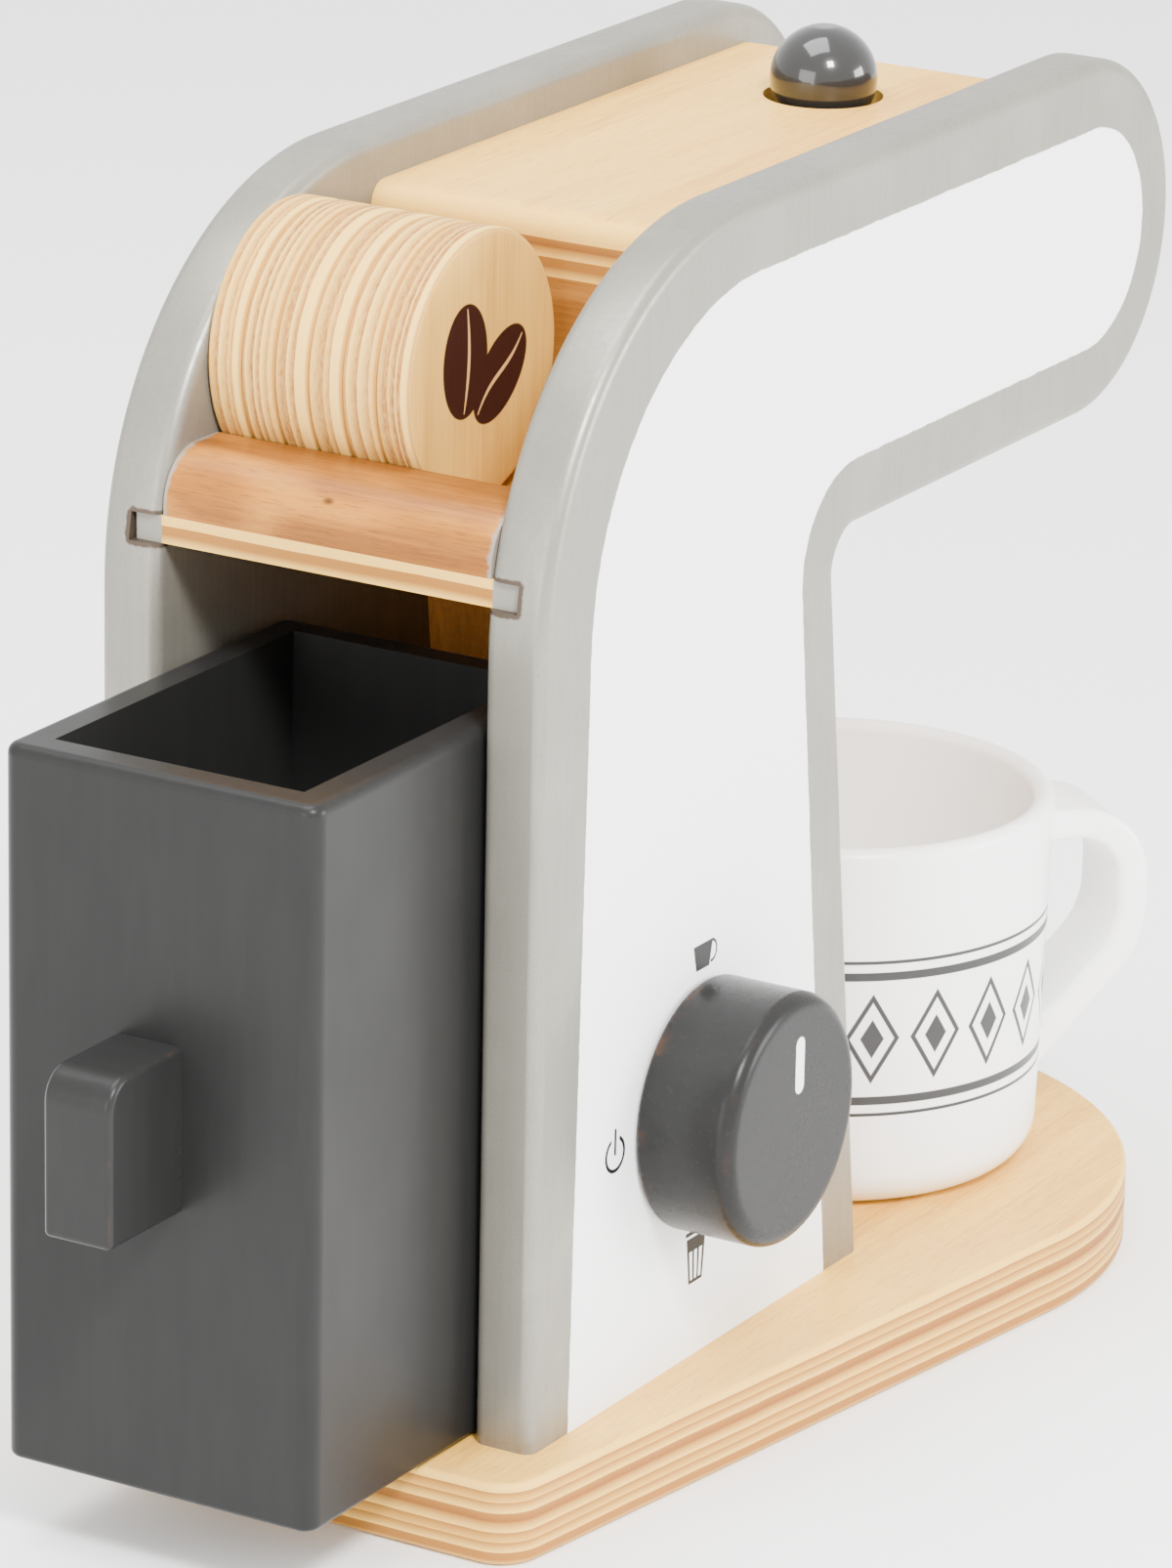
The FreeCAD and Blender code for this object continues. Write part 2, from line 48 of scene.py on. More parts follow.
class Value:
    # a shader socket that can be used in sums

    def __init__(self, maker, socket):
        self.maker = maker
        self.socket = socket

    def math(self, operation, *others):
        inputs = dict(enumerate((self,) + others))
        return self.maker.node("ShaderNodeMath", {"operation": operation}, inputs)

    def __add__(self, other):
        return self.math("ADD", other)

    __radd__ = __add__

    def __mul__(self, other):
        return self.math("MULTIPLY", other)

    __rmul__ = __mul__

    def __sub__(self, other):
        return self.math("SUBTRACT", other)

    def __rsub__(self, other):
        return self.maker.node("ShaderNodeMath", {"operation": "SUBTRACT"}, {0: other, 1: self})

    def __truediv__(self, other):
        return self.math("DIVIDE", other)

    def __neg__(self):
        return self * -1.0

    def __abs__(self):
        return self.math("ABSOLUTE")

    def least(self, other):
        return self.math("MINIMUM", other)

    def most(self, other):
        return self.math("MAXIMUM", other)

    def root(self):
        return self.math("SQRT")

    def part(self):
        return self.math("FRACT")

    def fade(self, low, high, start=0.0, end=1.0):
        return self.maker.node("ShaderNodeMapRange", {"interpolation_type": "SMOOTHSTEP"},
                               {0: self, 1: low, 2: high, 3: start, 4: end})

    def fall(self, low, high):
        return self.fade(low, high, 1.0, 0.0)

    def inside(self, soft=0.12):
        return self.fall(-soft, soft)  # 1 where a distance is negative


class Finish:
    # one material; its coordinates are the object's own, in millimetres

    def __init__(self, name, **fixed):
        self.material = bpy.data.materials.new(name)
        self.material.use_nodes = True
        self.tree = self.material.node_tree
        self.shader = self.tree.nodes["Principled BSDF"]
        for socketName, value in fixed.items():
            self.shader.inputs[socketName.replace("_", " ")].default_value = value
        coords = self.tree.nodes.new("ShaderNodeTexCoord")
        scaled = self.node("ShaderNodeVectorMath", {"operation": "SCALE"},
                           {0: Value(self, coords.outputs["Object"]), "Scale": 1000.0})
        self.point = scaled
        split = self.tree.nodes.new("ShaderNodeSeparateXYZ")
        self.tree.links.new(scaled.socket, split.inputs[0])
        self.x, self.y, self.z = (Value(self, split.outputs[i]) for i in range(3))
        self.axes = (self.x, self.y, self.z)

    def node(self, kind, settings=None, inputs=None, output=0):
        made = self.tree.nodes.new(kind)
        for key, value in (settings or {}).items():
            if key == "stops":
                ramp = made.color_ramp
                while len(ramp.elements) > 1:
                    ramp.elements.remove(ramp.elements[-1])
                for i, (place, colour) in enumerate(value):
                    element = ramp.elements[0] if i == 0 else ramp.elements.new(place)
                    element.position = place
                    element.color = (*colour, 1.0)
            else:
                setattr(made, key, value)
        for key, value in (inputs or {}).items():
            if isinstance(value, Value):
                self.tree.links.new(value.socket, made.inputs[key])
            else:
                made.inputs[key].default_value = value
        return Value(self, made.outputs[output])

    def vector(self, x, y, z):
        return self.node("ShaderNodeCombineXYZ", {}, {0: x, 1: y, 2: z})

    def noise(self, place, scale=1.0, detail=3.0, rough=0.5, twist=0.0):
        sockets = {"Vector": place, "Scale": scale, "Detail": detail, "Roughness": rough, "Distortion": twist}
        return self.node("ShaderNodeTexNoise", {"noise_dimensions": "3D"}, sockets)

    def mix(self, factor, first, second, blend="MIX"):
        def colour(c):
            return c if isinstance(c, Value) else (*c, 1.0)
        return self.node("ShaderNodeMix", {"data_type": "RGBA", "blend_type": blend},
                         {0: factor, 6: colour(first), 7: colour(second)}, 2)

    def ramp(self, factor, stops):
        return self.node("ShaderNodeValToRGB", {"stops": stops}, {0: factor})

    def length(self, a, b):
        return (a * a + b * b).root()

    def slab(self, a, b, halfA, halfB, corner=0.0):
        # distance to a rounded rectangle round the origin of a and b
        da = abs(a) - (halfA - corner)
        db = abs(b) - (halfB - corner)
        outer = self.length(da.most(0.0), db.most(0.0))
        return outer + da.most(db).least(0.0) - corner

    def turned(self, a, b, degrees):
        c, s = math.cos(math.radians(degrees)), math.sin(math.radians(degrees))
        return a * c + b * s, b * c - a * s

    def finish(self, colour, roughness, height=None, strength=0.0, distance=0.0, metal=None):
        # strength and distance, in mm, are those of the bump that height makes
        given = {"Base Color": colour, "Roughness": roughness, "Metallic": metal}
        if height is not None:
            given["Normal"] = self.node("ShaderNodeBump", {}, {"Strength": strength, "Distance": distance * mm,
                                                               "Height": height})
        for socketName, value in given.items():
            if value is not None:
                self.tree.links.new(value.socket, self.shader.inputs[socketName])
        return self.material


def toned(colour, by):
    # by is one factor, or one for each channel
    by = by if isinstance(by, tuple) else (by,) * 3
    return tuple(c * b for c, b in zip(colour, by))


woodTones = {   # deeper than they look, since the view's tone curve pales them
    "pale": (0.70, 0.385, 0.070),
    "cream": (0.84, 0.515, 0.112),
    "tan": (0.35, 0.148, 0.026),
    "brown": (0.27, 0.105, 0.026),
    "orange": (0.27, 0.100, 0.018),
    "umber": (0.25, 0.100, 0.024),
}


def plyStops(plies):
    # plies are pairs of a tone and a thickness, from the low side up
    total = sum(thick for tone, thick in plies)
    stops, place = [], 0.0
    for i, (tone, thick) in enumerate(plies):
        if i:
            stops.append((place - 0.06 / total, woodTones["tan"]))
        stops.append((place + (0.05 / total if i else 0.0), woodTones[tone]))
        place += thick / total
    return stops, total


grainKinds = {   # scale across and along the grain, detail, roughness and twist
    "wide": (0.09, 0.006, 4.0, 0.55, 0.6),
    "thin": (1.6, 0.035, 3.0, 0.6, 0.2),
    "pores": (5.0, 0.25, 2.0, 0.5, 0.0),
}


def grainLines(f, kind, across, along, deep, seed):
    # long streaks that run with the grain
    close, far, detail, rough, twist = grainKinds[kind]
    a, b = across * close, along * far
    a, b = (a, b + seed) if kind == "pores" else (a + seed, b)
    return f.noise(f.vector(a, b, deep * close), 1.0, detail, rough, twist)


def facing(f, axis, low, high):
    # 1 where the surface looks along the axis
    normal = f.node("ShaderNodeNewGeometry", {}, {}, 1)
    return abs(f.node("ShaderNodeSeparateXYZ", {}, {0: normal}, axis)).fade(low, high)


veneerTones = ((0.50, 0.225, 0.040), (0.79, 0.445, 0.082), (0.89, 0.555, 0.125))


def plywood(name, axis, low, plies, grain, seed=0.0, tint=1.0, rough=0.42, ends=None):
    # plies are stacked along one axis from low; the face grain runs along another
    # ends: how far out along X paint has strayed onto the tongues
    f = Finish(name, Specular_IOR_Level=0.16)
    deep, along, across = f.axes[axis], f.axes[grain], f.axes[3 - axis - grain]
    waver = f.noise(f.point, 0.05, 2.0, 0.5) - 0.5
    stops, total = plyStops(plies)
    layer = f.ramp((deep - low + waver * 0.55) / total, stops)
    wide, thin, pores = (grainLines(f, kind, across, along, deep, seed) for kind in grainKinds)
    endGrain = grainLines(f, "thin", along, across, deep, seed + 7.0)
    face = facing(f, axis, 0.75, 0.97)
    veneer = f.ramp(wide * 0.65 + thin * 0.35,
                    [(place, toned(tone, tint)) for place, tone in zip((0.28, 0.50, 0.72), veneerTones)])
    veneer = f.mix(pores.fade(0.52, 0.68) * 0.38, veneer, (0.38, 0.17, 0.045))
    blotch = f.noise(f.point, 0.022, 2.0, 0.5, 0.4).fade(0.42, 0.68) * 0.175
    veneer = f.mix(blotch, veneer, toned((0.80, 0.41, 0.12), tint))
    # cut ends: each ply shows long fibres or end grain
    edge = f.mix(endGrain.fade(0.30, 0.70) * 0.35, layer, (0.94, 0.80, 0.60), "MULTIPLY")
    dots = f.noise(f.point, 2.6, 2.0, 0.6).fade(0.56, 0.72)
    edge = f.mix(dots * 0.30, edge, (0.36, 0.19, 0.085))
    colour = f.mix(face, edge, veneer)
    gloss = rough + (1.0 - face) * 0.14 + (thin - 0.5) * 0.12
    height = thin * 0.5 + pores * 0.25 + dots * (1.0 - face) * 0.4
    if ends is not None:
        colour = f.mix(abs(f.x).fade(ends, ends + 0.5), colour, panelPaint["silver"])
    return f.finish(colour, gloss, height, 0.25, 0.08)


def solidWood(name, grain, light, middle, dark, seed=0.0, knot=None, smear=None):
    # knot: where a small pin knot is along X and Z; smear: how far out paint has strayed onto the ends
    f = Finish(name, Specular_IOR_Level=0.22)
    along = f.axes[grain]
    others = [a for i, a in enumerate(f.axes) if i != grain]
    sway = f.noise(f.vector(f.x * 0.020, f.y * 0.05, f.z * 0.05), 1.0, 2.0, 0.5) * 34.0
    rings = ((others[0] * 0.50 + others[1] * 0.80 + sway + seed) * 0.55).math("SINE") * 0.5 + 0.5
    wide, thin, pores = (grainLines(f, kind, others[0], along, others[1], seed) for kind in grainKinds)
    tone = (rings * rings) * 0.40 + wide * 0.55 + (thin - 0.5) * 0.55 + 0.02
    colour = f.ramp(tone, [(0.10, dark), (0.45, middle), (0.80, light)])
    colour = f.mix(pores.fade(0.56, 0.70) * 0.45, colour, toned(dark, 0.6))
    if knot is not None:
        near = f.length((f.x - knot[0]) * 0.45, f.z - knot[1])
        colour = f.mix(near.fade(0.15, 0.75, 0.9, 0.0), colour, toned(dark, 0.45))
    if smear is not None:
        ragged = f.noise(f.point, 0.5, 3.0, 0.6) * 3.0
        colour = f.mix((abs(f.x) + ragged).fade(smear, smear + 0.8) * 0.85, colour, panelPaint["silver"])
    return f.finish(colour, 0.36 + (thin - 0.5) * 0.15, thin * 0.5 + pores * 0.3, 0.22, 0.08)


panelPaint = {
    "silver": (0.238, 0.226, 0.190),
    "white": (0.93, 0.935, 0.93),
    "mark": (0.006, 0.0058, 0.0056),
    "outer": 44.4,    # past here along X the outer faces begin
    "slot": (34.0, 169.6, 5.5, 2.6),    # the shelf's tongue: middle and half sizes along X and Z
}

whiteArea = {   # outline of the white field, in mm along Y and Z
    "rearFoot": (-12.5, 15.3), "rearTop": (-15.6, 155.0),
    "arcCentre": (-71.6, 156.9), "arcRadius": 55.85, "arcReach": (-84.0, 125.0),
    "armTop": 212.7, "armBottom": 170.3, "armRear": -66.0, "noseY": -195.2,
    "frontTop": (-89.3, 143.6), "frontFoot": (-103.7, 15.4),
    "fillet": (-107.55, 151.3), "filletRadius": 19.0, "filletReach": (80.0, 149.2, 172.0),
}


def lineSide(f, y, z, start, end):
    # positive to the left of the way from start to end
    dy, dz = end[0] - start[0], end[1] - start[1]
    n = math.hypot(dy, dz)
    return (y - start[0]) * (-dz / n) + (z - start[1]) * (dy / n)


def whiteField(f, y, z):
    a = whiteArea
    r = (a["armTop"] - a["armBottom"]) / 2
    middleZ = (a["armTop"] + a["armBottom"]) / 2
    rear, front = a["armRear"], a["noseY"]
    nose = f.length(y - front, z - middleZ) - r
    arm = f.slab(y - (front + rear) / 2, z - middleZ, (rear - front) / 2, r).least(nose)
    cy, cz = a["arcCentre"]
    arm = arm.most(y - cy)   # the level top ends where the rear arc starts
    reachY, reachZ = a["arcReach"]
    disc = (f.length(y - cy, z - cz) - a["arcRadius"]).most(reachY - y).most(reachZ - z)
    rearLine = lineSide(f, y, z, a["rearTop"], a["rearFoot"])
    frontLine = lineSide(f, y, z, a["frontFoot"], a["frontTop"])
    leg = rearLine.most(frontLine).most(z - cz)
    cy, cz = a["fillet"]
    ahead, low, high = a["filletReach"]
    web = (a["filletRadius"] - f.length(y - cy, z - cz)).most(cy - y).most(y + ahead)
    web = web.most(low - z).most(z - high)
    return arm.least(disc).least(leg).least(web)


panelSigns = {"mug": (56.25, 91.05), "ring": (27.0, 62.9), "basket": (56.15, 33.7)}   # middles, forward and up


def panelMarks(f, y, z):
    # a small mug, a ring with a bar, and a waste basket, round the knob
    def place(sign):
        forward, high = panelSigns[sign]
        return -(y + forward), z - high

    right, up = place("mug")
    mug = (abs(right) - (2.85 + up * 0.23)).most(abs(up) - 2.4)
    ear = abs(f.length(right - 3.0, (up - 0.2) * 0.9) - 1.75) - 0.25
    marks = mug.least(ear.most(2.7 - right))
    right, up = place("ring")
    ring = abs(f.length(right, up) - 3.05) - 0.36
    ring = ring.most(-(abs(right) - 1.35).most(0.8 - up))   # open at the top, for the bar
    marks = marks.least(ring).least(f.slab(right, up - 2.3, 0.36, 2.5, 0.3))
    right, up = place("basket")
    width = 2.85 + up * 0.11
    basket = (abs(right) - width).most(abs(up) - 4.4)
    slots = (abs(((right / (width * 1.72) + 0.5) * 3.0).part() - 0.5) - 0.30) * 1.6
    slots = slots.most(abs(right) - width * 0.86).most(abs(up + 1.0) - 2.75)
    lid = f.slab(right, up - 5.3, 3.7, 0.40, 0.2)
    return marks.least(basket.most(-slots)).least(lid)


def makePanelPaint():
    f = Finish("sidePaint", Specular_IOR_Level=0.16)
    p = panelPaint
    silver, white, face = p["silver"], p["white"], p["outer"]
    ripple = (f.noise(f.point, 0.35, 2.0, 0.5) - 0.5) * 0.5
    outer = abs(f.x).fade(face, face + 0.3)
    field = (whiteField(f, f.y, f.z) + ripple).inside(0.16) * outer
    knobSide = f.x.fall(-face - 0.4, -face)
    marks = (panelMarks(f, f.y, f.z) + ripple * 0.12).inside(0.06) * knobSide
    strokes = f.noise(f.vector(f.x * 0.6, f.y * 0.9, f.z * 0.045), 1.0, 4.0, 0.6, 0.3)
    mottle = f.noise(f.point, 0.05, 3.0, 0.5)
    flecks = f.noise(f.vector(f.x * 3.0, f.y * 3.0, f.z * 0.6), 1.0, 2.0, 0.5).fade(0.62, 0.74)
    dust = f.noise(f.point, 1.7, 2.0, 0.7)
    metallic = f.mix(strokes.fade(0.35, 0.68) * 0.30, silver, toned(silver, 0.80))
    metallic = f.mix(mottle.fade(0.45, 0.7) * 0.18, metallic, (0.40, 0.375, 0.31))
    metallic = f.mix(dust.fade(0.40, 0.62) * 0.22, metallic, toned(silver, 0.72))
    metallic = f.mix(flecks * 0.22, metallic, (0.17, 0.155, 0.125))
    # bare wood shows at the foot, and painted shade darkens the gap round the shelf's tongue
    foot = f.z.fall(15.3, 18.5) * f.noise(f.point, 0.5, 2.0, 0.6).fade(0.45, 0.62)
    metallic = f.mix(foot * 0.45, metallic, (0.22, 0.145, 0.080))
    ragged = f.noise(f.point, 0.9, 2.0, 0.6) * 0.9
    x, z, halfX, halfZ = p["slot"]
    gapShade = abs(f.slab(abs(f.x) - x, f.z - z, halfX, halfZ, 0.4)) - ragged
    gapShade = gapShade.fall(0.0, 0.45) * f.y.fade(-6.0, -4.0)
    metallic = f.mix(gapShade * 0.85, metallic, (0.045, 0.024, 0.013))
    cloudy = f.mix(mottle.fade(0.4, 0.75) * 0.10, white, (0.86, 0.855, 0.835))
    colour = f.mix(marks, f.mix(field, metallic, cloudy), p["mark"])
    gloss = 0.36 + (strokes - 0.5) * 0.22 + field * 0.04
    height = strokes * 0.5 + flecks * -0.25 + field * 0.30 + marks * 0.25
    return f.finish(colour, gloss, height, 0.22, 0.10, 0.45 - field * 0.45)


# sheen is a lighter tone: a painted sheen along the brush marks
darkTone = {
    "paint": (0.0160, 0.0158, 0.0155), "sheen": (0.0205, 0.0202, 0.0198), "cloud": (0.0140, 0.0139, 0.0140),
    "wear": (0.060, 0.030, 0.017),
}


def darkPaint(name, edges=None, rough=0.30, extra=None, shine=0.0, deep=1.0, worn=0.65, spec=0.17, streak=1.0):
    # edges: a function that gives 1 where the paint wears off, as strongly as worn says
    # extra: a function that gives the mask and tone of a mark; shine: weight of a clear coat
    # deep: share of the tones; streak: share of the brush marks with their painted sheen, and of the clouds
    f = Finish(name, Specular_IOR_Level=spec, Coat_Weight=shine, Coat_Roughness=0.06)
    strokes = f.noise(f.vector(f.x * 0.35, f.y * 0.35, f.z * 0.05), 1.0, 4.0, 0.6, 0.4)
    mottle = f.noise(f.point, 0.06, 3.0, 0.55)
    peel = f.noise(f.point, 0.55, 2.0, 0.5)
    paint, sheen, cloud = (toned(darkTone[key], deep) for key in ("paint", "sheen", "cloud"))
    # the brush marks are painted lighter, as a painted sheen
    colour = f.mix(strokes.fade(0.35, 0.7) * (0.35 * streak), paint, sheen)
    colour = f.mix(mottle.fade(0.4, 0.72) * (0.30 * streak), colour, cloud)
    if edges is not None:
        broken = f.noise(f.point, 0.12, 4.0, 0.7).fade(0.50, 0.64)
        colour = f.mix(edges(f) * broken * worn, colour, darkTone["wear"])
    height = strokes * (0.5 * streak) + peel * 0.2
    if extra is not None:
        mask, tone = extra(f)
        colour = f.mix(mask, colour, tone)
        height = height + mask * 0.6
    gloss = rough + (mottle - 0.5) * (0.12 * streak) + (peel - 0.5) * 0.04
    return f.finish(colour, gloss, height, 0.05, 0.10)


def boxEdges(f, plan, reach):
    # 1 on the arrises of a box: two of the three distances to its faces are small there
    depth = []
    for axis, key in zip(f.axes, "xyz"):
        low, high = plan[key]
        depth.append(high - axis if low is None else (axis - low).least(high - axis))
    a, b, c = depth
    pair = a.most(b).least(b.most(c)).least(a.most(c))
    return pair.fall(0.1, reach)


def makeSteel(name):
    f = Finish(name, Metallic=1.0)
    lathe = f.noise(f.point, 2.0, 4.0, 0.7)
    tone = f.mix(lathe.fade(0.3, 0.7), (0.50, 0.49, 0.47), (0.70, 0.69, 0.66))
    return f.finish(tone, 0.26 + lathe * 0.2, lathe, 0.10, 0.05)


padPrint = {   # two beans: middle, half sizes, turn in degrees, bow and wave of the seam, in mm along -Y and Z
    "beans": (((33.6, 198.9), (7.2, 10.2), 2.4, 1.2, 0.0), ((45.1, 194.2), (6.2, 10.1), 50.0, -0.3, 0.7)),
    "tone": (0.030, 0.0085, 0.0060), "seam": (0.66, 0.36, 0.13), "face": (-7.9, -7.6),
}


def bean(f, across, up, plan):
    (ca, cb), (ha, hb), turn, bow, wave = plan
    a, b = f.turned(across - ca, up - cb, -turn)
    body = f.length(a / ha, b / hb) - 1.0
    curve = (b * (0.5 * math.pi / hb)).math("COSINE") * bow + (b * (math.pi / hb)).math("SINE") * wave
    seam = abs(a - curve) - (b * (0.5 * math.pi / hb)).math("COSINE") * 0.34 - 0.10
    return (body * ha).inside(0.12), seam.inside(0.10) * (abs(b) - hb * 0.91).inside(0.2)


padPlies = [   # one row for each pad, from its far face to its near face
    [("cream", 1.9), ("tan", 0.35), ("cream", 1.9), ("pale", 1.0), ("cream", 1.6)],
    [("pale", 0.9), ("cream", 1.3), ("umber", 0.45), ("cream", 0.9), ("tan", 0.40), ("cream", 1.5),
     ("pale", 1.3)],
    [("cream", 1.5), ("tan", 1.0), ("cream", 1.2), ("tan", 0.5), ("cream", 2.55)],
    [("cream", 2.6), ("tan", 0.6), ("pale", 1.3), ("cream", 2.25)],
    [("pale", 1.0), ("cream", 2.0), ("umber", 0.35), ("cream", 2.3), ("pale", 1.1)],
    [("cream", 1.7), ("tan", 0.9), ("pale", 0.9), ("umber", 0.55), ("cream", 0.45), ("orange", 0.65),
     ("cream", 1.6)],
]


def padWood(name, plies, right, seed, printed):
    # each pad is cut from board; its plies are stacked along X from the face at right
    f = Finish(name, Specular_IOR_Level=0.14)
    stops, total = plyStops(plies)
    waver = (f.noise(f.point, 0.09, 2.0, 0.5) - 0.5) * 0.5
    layer = f.ramp((right - f.x + waver) / total, stops)
    face = facing(f, 0, 0.80, 0.97)
    wide, thin = (grainLines(f, kind, f.y, f.z, f.x, seed) for kind in ("wide", "thin"))
    veneer = f.ramp(wide * 0.6 + thin * 0.4, [(0.30, (0.58, 0.285, 0.052)), (0.52, (0.74, 0.410, 0.085)),
                                             (0.75, (0.84, 0.505, 0.125))])
    ray = f.noise(f.vector(f.y * 0.5, f.z * 0.12, seed), 1.0, 3.0, 0.6).fade(0.58, 0.72) * 0.16
    veneer = f.mix(ray, veneer, (0.60, 0.36, 0.17))
    fibres = f.noise(f.vector(f.x * 3.2, f.y * 0.7, f.z * 0.7), 1.0, 3.0, 0.6)
    edge = f.mix(fibres.fade(0.35, 0.65) * 0.30, layer, (0.84, 0.52, 0.18))
    half = padPlan["thick"] / 2
    gapShade = (abs(f.x - right + half) - half + 0.75).fade(0.0, 0.7)   # painted shade in the creases where two pads meet
    edge = f.mix(gapShade * 0.70, edge, (0.30, 0.125, 0.028))
    colour = f.mix(face, edge, veneer)
    if printed:
        onFace = f.x.fall(*padPrint["face"])
        for plan in padPrint["beans"]:
            body, seam = bean(f, -f.y, f.z, plan)
            tone = f.mix(seam, padPrint["tone"], padPrint["seam"])
            colour = f.mix(body * onFace, colour, tone)
    height = thin * 0.4 + fibres * (1.0 - face) * 0.6
    return f.finish(colour, 0.48 + (thin - 0.5) * 0.15, height, 0.22, 0.08)


cupPrint = {   # a band of lozenges between stripes, all round the cup
    "turn": 148.0, "height": 50.5, "wall": 40.48, "slope": 0.0222, "skin": (-1.2, 0.12),
    "ink": (0.0270, 0.0266, 0.0270), "radius": 40.6, "count": 20, "half": (5.3, 9.0), "line": 0.9,
    "core": (2.3, 3.9), "stripes": ((12.4, 0.85), (15.2, 0.35)),
}


def lozenge(across, up, half):
    # distance to a lozenge with its corners on the axes
    a, b = half
    return (abs(across) * (1.0 / a) + abs(up) * (1.0 / b) - 1.0) * (a * b / math.hypot(a, b))


def makeCupPaint():
    f = Finish("cupPaint", Coat_Weight=0.12, Coat_Roughness=0.10, Specular_IOR_Level=0.30)
    p, soft = cupPrint, 0.12
    dx, dy = f.x - cupPlan["x"], f.y - cupPlan["y"]
    ahead, aside = f.turned(dx, dy, p["turn"])
    up = f.z - p["height"]
    skin = f.length(dx, dy) - up * p["slope"] - p["wall"]   # off the cup's outer wall, which leans out
    low, high = p["skin"]
    outer = skin.fade(low, low + 0.3) * skin.fall(high, high + soft)
    cell = (aside.math("ARCTAN2", ahead) * (p["count"] / (2.0 * math.pi)) + 0.5).part() - 0.5
    across = cell * (2.0 * math.pi * p["radius"] / p["count"])
    line = p["line"] / 2
    ink = (abs(lozenge(across, up, p["half"]) + line) - line).inside(soft)
    ink = ink.most(lozenge(across, up, p["core"]).inside(soft))
    for level, half in p["stripes"]:
        ink = ink.most((abs(abs(up) - level) - half).inside(soft))
    ink = ink * outer
    mottle = f.noise(f.point, 0.05, 3.0, 0.5)
    strokes = f.noise(f.vector(f.x * 0.2, f.y * 0.2, f.z * 1.1), 1.0, 3.0, 0.6)
    white = f.mix(mottle.fade(0.4, 0.7) * 0.2, (0.96, 0.955, 0.935), (0.92, 0.91, 0.88))
    gloss = 0.24 + (mottle - 0.5) * 0.12 + ink * 0.1
    height = strokes * 0.5 + mottle * 0.5 + ink * 0.3
    return f.finish(f.mix(ink, white, p["ink"]), gloss, height, 0.12, 0.10)


def addObject(name, data):
    made = bpy.data.objects.new(name, data)
    bpy.context.scene.collection.objects.link(made)
    return made


def addPiece(name, mesh, body, slot, stands, angle=32.0):
    # smooth faces with sharp edges past the angle; the piece rides on a body and stands for CAD nodes
    mesh.shade_smooth()
    mesh.set_sharp_from_angle(angle=math.radians(angle))
    piece = addObject(name, mesh)
    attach(piece, body)
    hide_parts(*stands)
    return piece


def newPiece(name, points, faces, material, body, slot, stands, angle=32.0):
    mesh = bpy.data.meshes.new(name)
    mesh.from_pydata([tuple(c * mm for c in p) for p in points], [], faces)
    work = bmesh.new()
    work.from_mesh(mesh)
    bmesh.ops.remove_doubles(work, verts=work.verts, dist=0.002 * mm)
    bmesh.ops.recalc_face_normals(work, faces=work.faces)
    work.to_mesh(mesh)
    work.free()
    mesh.materials.append(material)
    return addPiece(name, mesh, body, slot, stands, angle)


def arcPoints(centre, radius, start, end, steps):
    out = []
    for i in range(steps + 1):
        t = math.radians(start + (end - start) * i / steps)
        out.append((centre[0] + radius * math.cos(t), centre[1] + radius * math.sin(t)))
    return out


def turnedProfile(profile, segments=96):
    # profile: pairs of radius and height; ends on the axis are closed to a point
    # the plans' ring, middle, under and within are flat rings that keep long faces out of the shading
    points, faces, rings = [], [], []
    for r, h in profile:
        turns = [2 * math.pi * i / segments for i in range(segments)] if r > 0.0 else [0.0]
        rings.append(range(len(points), len(points) + len(turns)))
        points += [(r * math.cos(t), r * math.sin(t), h) for t in turns]
    for low, high in zip(rings, rings[1:]):
        for i in range(segments):
            j = (i + 1) % segments
            if len(low) == 1:
                faces.append((low[0], high[j], high[i]))
            elif len(high) == 1:
                faces.append((low[i], low[j], high[0]))
            else:
                faces.append((low[i], low[j], high[j], high[i]))
    return points, faces


def edgeShift(outline, free):
    # how each corner moves when the free edges step in by one; the others stay on their line
    shifts = []
    n = len(outline)
    area = sum(a[0] * b[1] - b[0] * a[1] for a, b in zip(outline, outline[1:] + outline[:1]))
    sign = 1.0 if area > 0 else -1.0
    for i in range(n):
        rows = []
        for k in (i - 1, i):
            a, b = outline[k % n], outline[(k + 1) % n]
            dx, dy = b[0] - a[0], b[1] - a[1]
            size = math.hypot(dx, dy)
            rows.append((-dy / size * sign, dx / size * sign, 1.0 if free[k % n] else 0.0))
        (ax, ay, ad), (bx, by, bd) = rows
        det = ax * by - ay * bx
        if abs(det) < 0.02:
            shifts.append((ax * ad, ay * ad))
        else:
            shifts.append(((ad * by - bd * ay) / det, (ax * bd - bx * ad) / det))
    return shifts


def boardMesh(outline, low, high, edge, place, free=None):
    # a flat board with both long edges rounded over; place turns (u, v, t) into a point
    free = free or [True] * len(outline)
    shifts = edgeShift(outline, free)
    rim, steps = 0.5, 6   # width of the flat band inside each rounding, and the rounding's faces

    def profile(t, direction):
        turns = [math.pi / 2 * k / steps for k in range(steps + 1)]
        return [(edge + rim, t)] + [(edge - edge * math.sin(a), t + direction * (edge - edge * math.cos(a)))
                                    for a in turns]

    levels = profile(low, 1.0) + profile(high, -1.0)[::-1]
    points, faces = [], []
    n = len(outline)
    for k, (inset, t) in enumerate(levels):
        for i, ((u, v), (du, dv)) in enumerate(zip(outline, shifts)):
            # at a fixed edge the flat rim runs out, so that its ends merge
            cap = k in (0, len(levels) - 1) and not (free[i - 1] and free[i])
            step = inset - rim if cap else inset
            points.append(place(u + du * step, v + dv * step, t))
    last = (len(levels) - 1) * n
    for k in range(0, last, n):
        for i in range(n):
            j = (i + 1) % n
            faces.append((k + i, k + j, k + n + j, k + n + i))
    return points, faces + [tuple(range(n))[::-1], tuple(range(last, last + n))]


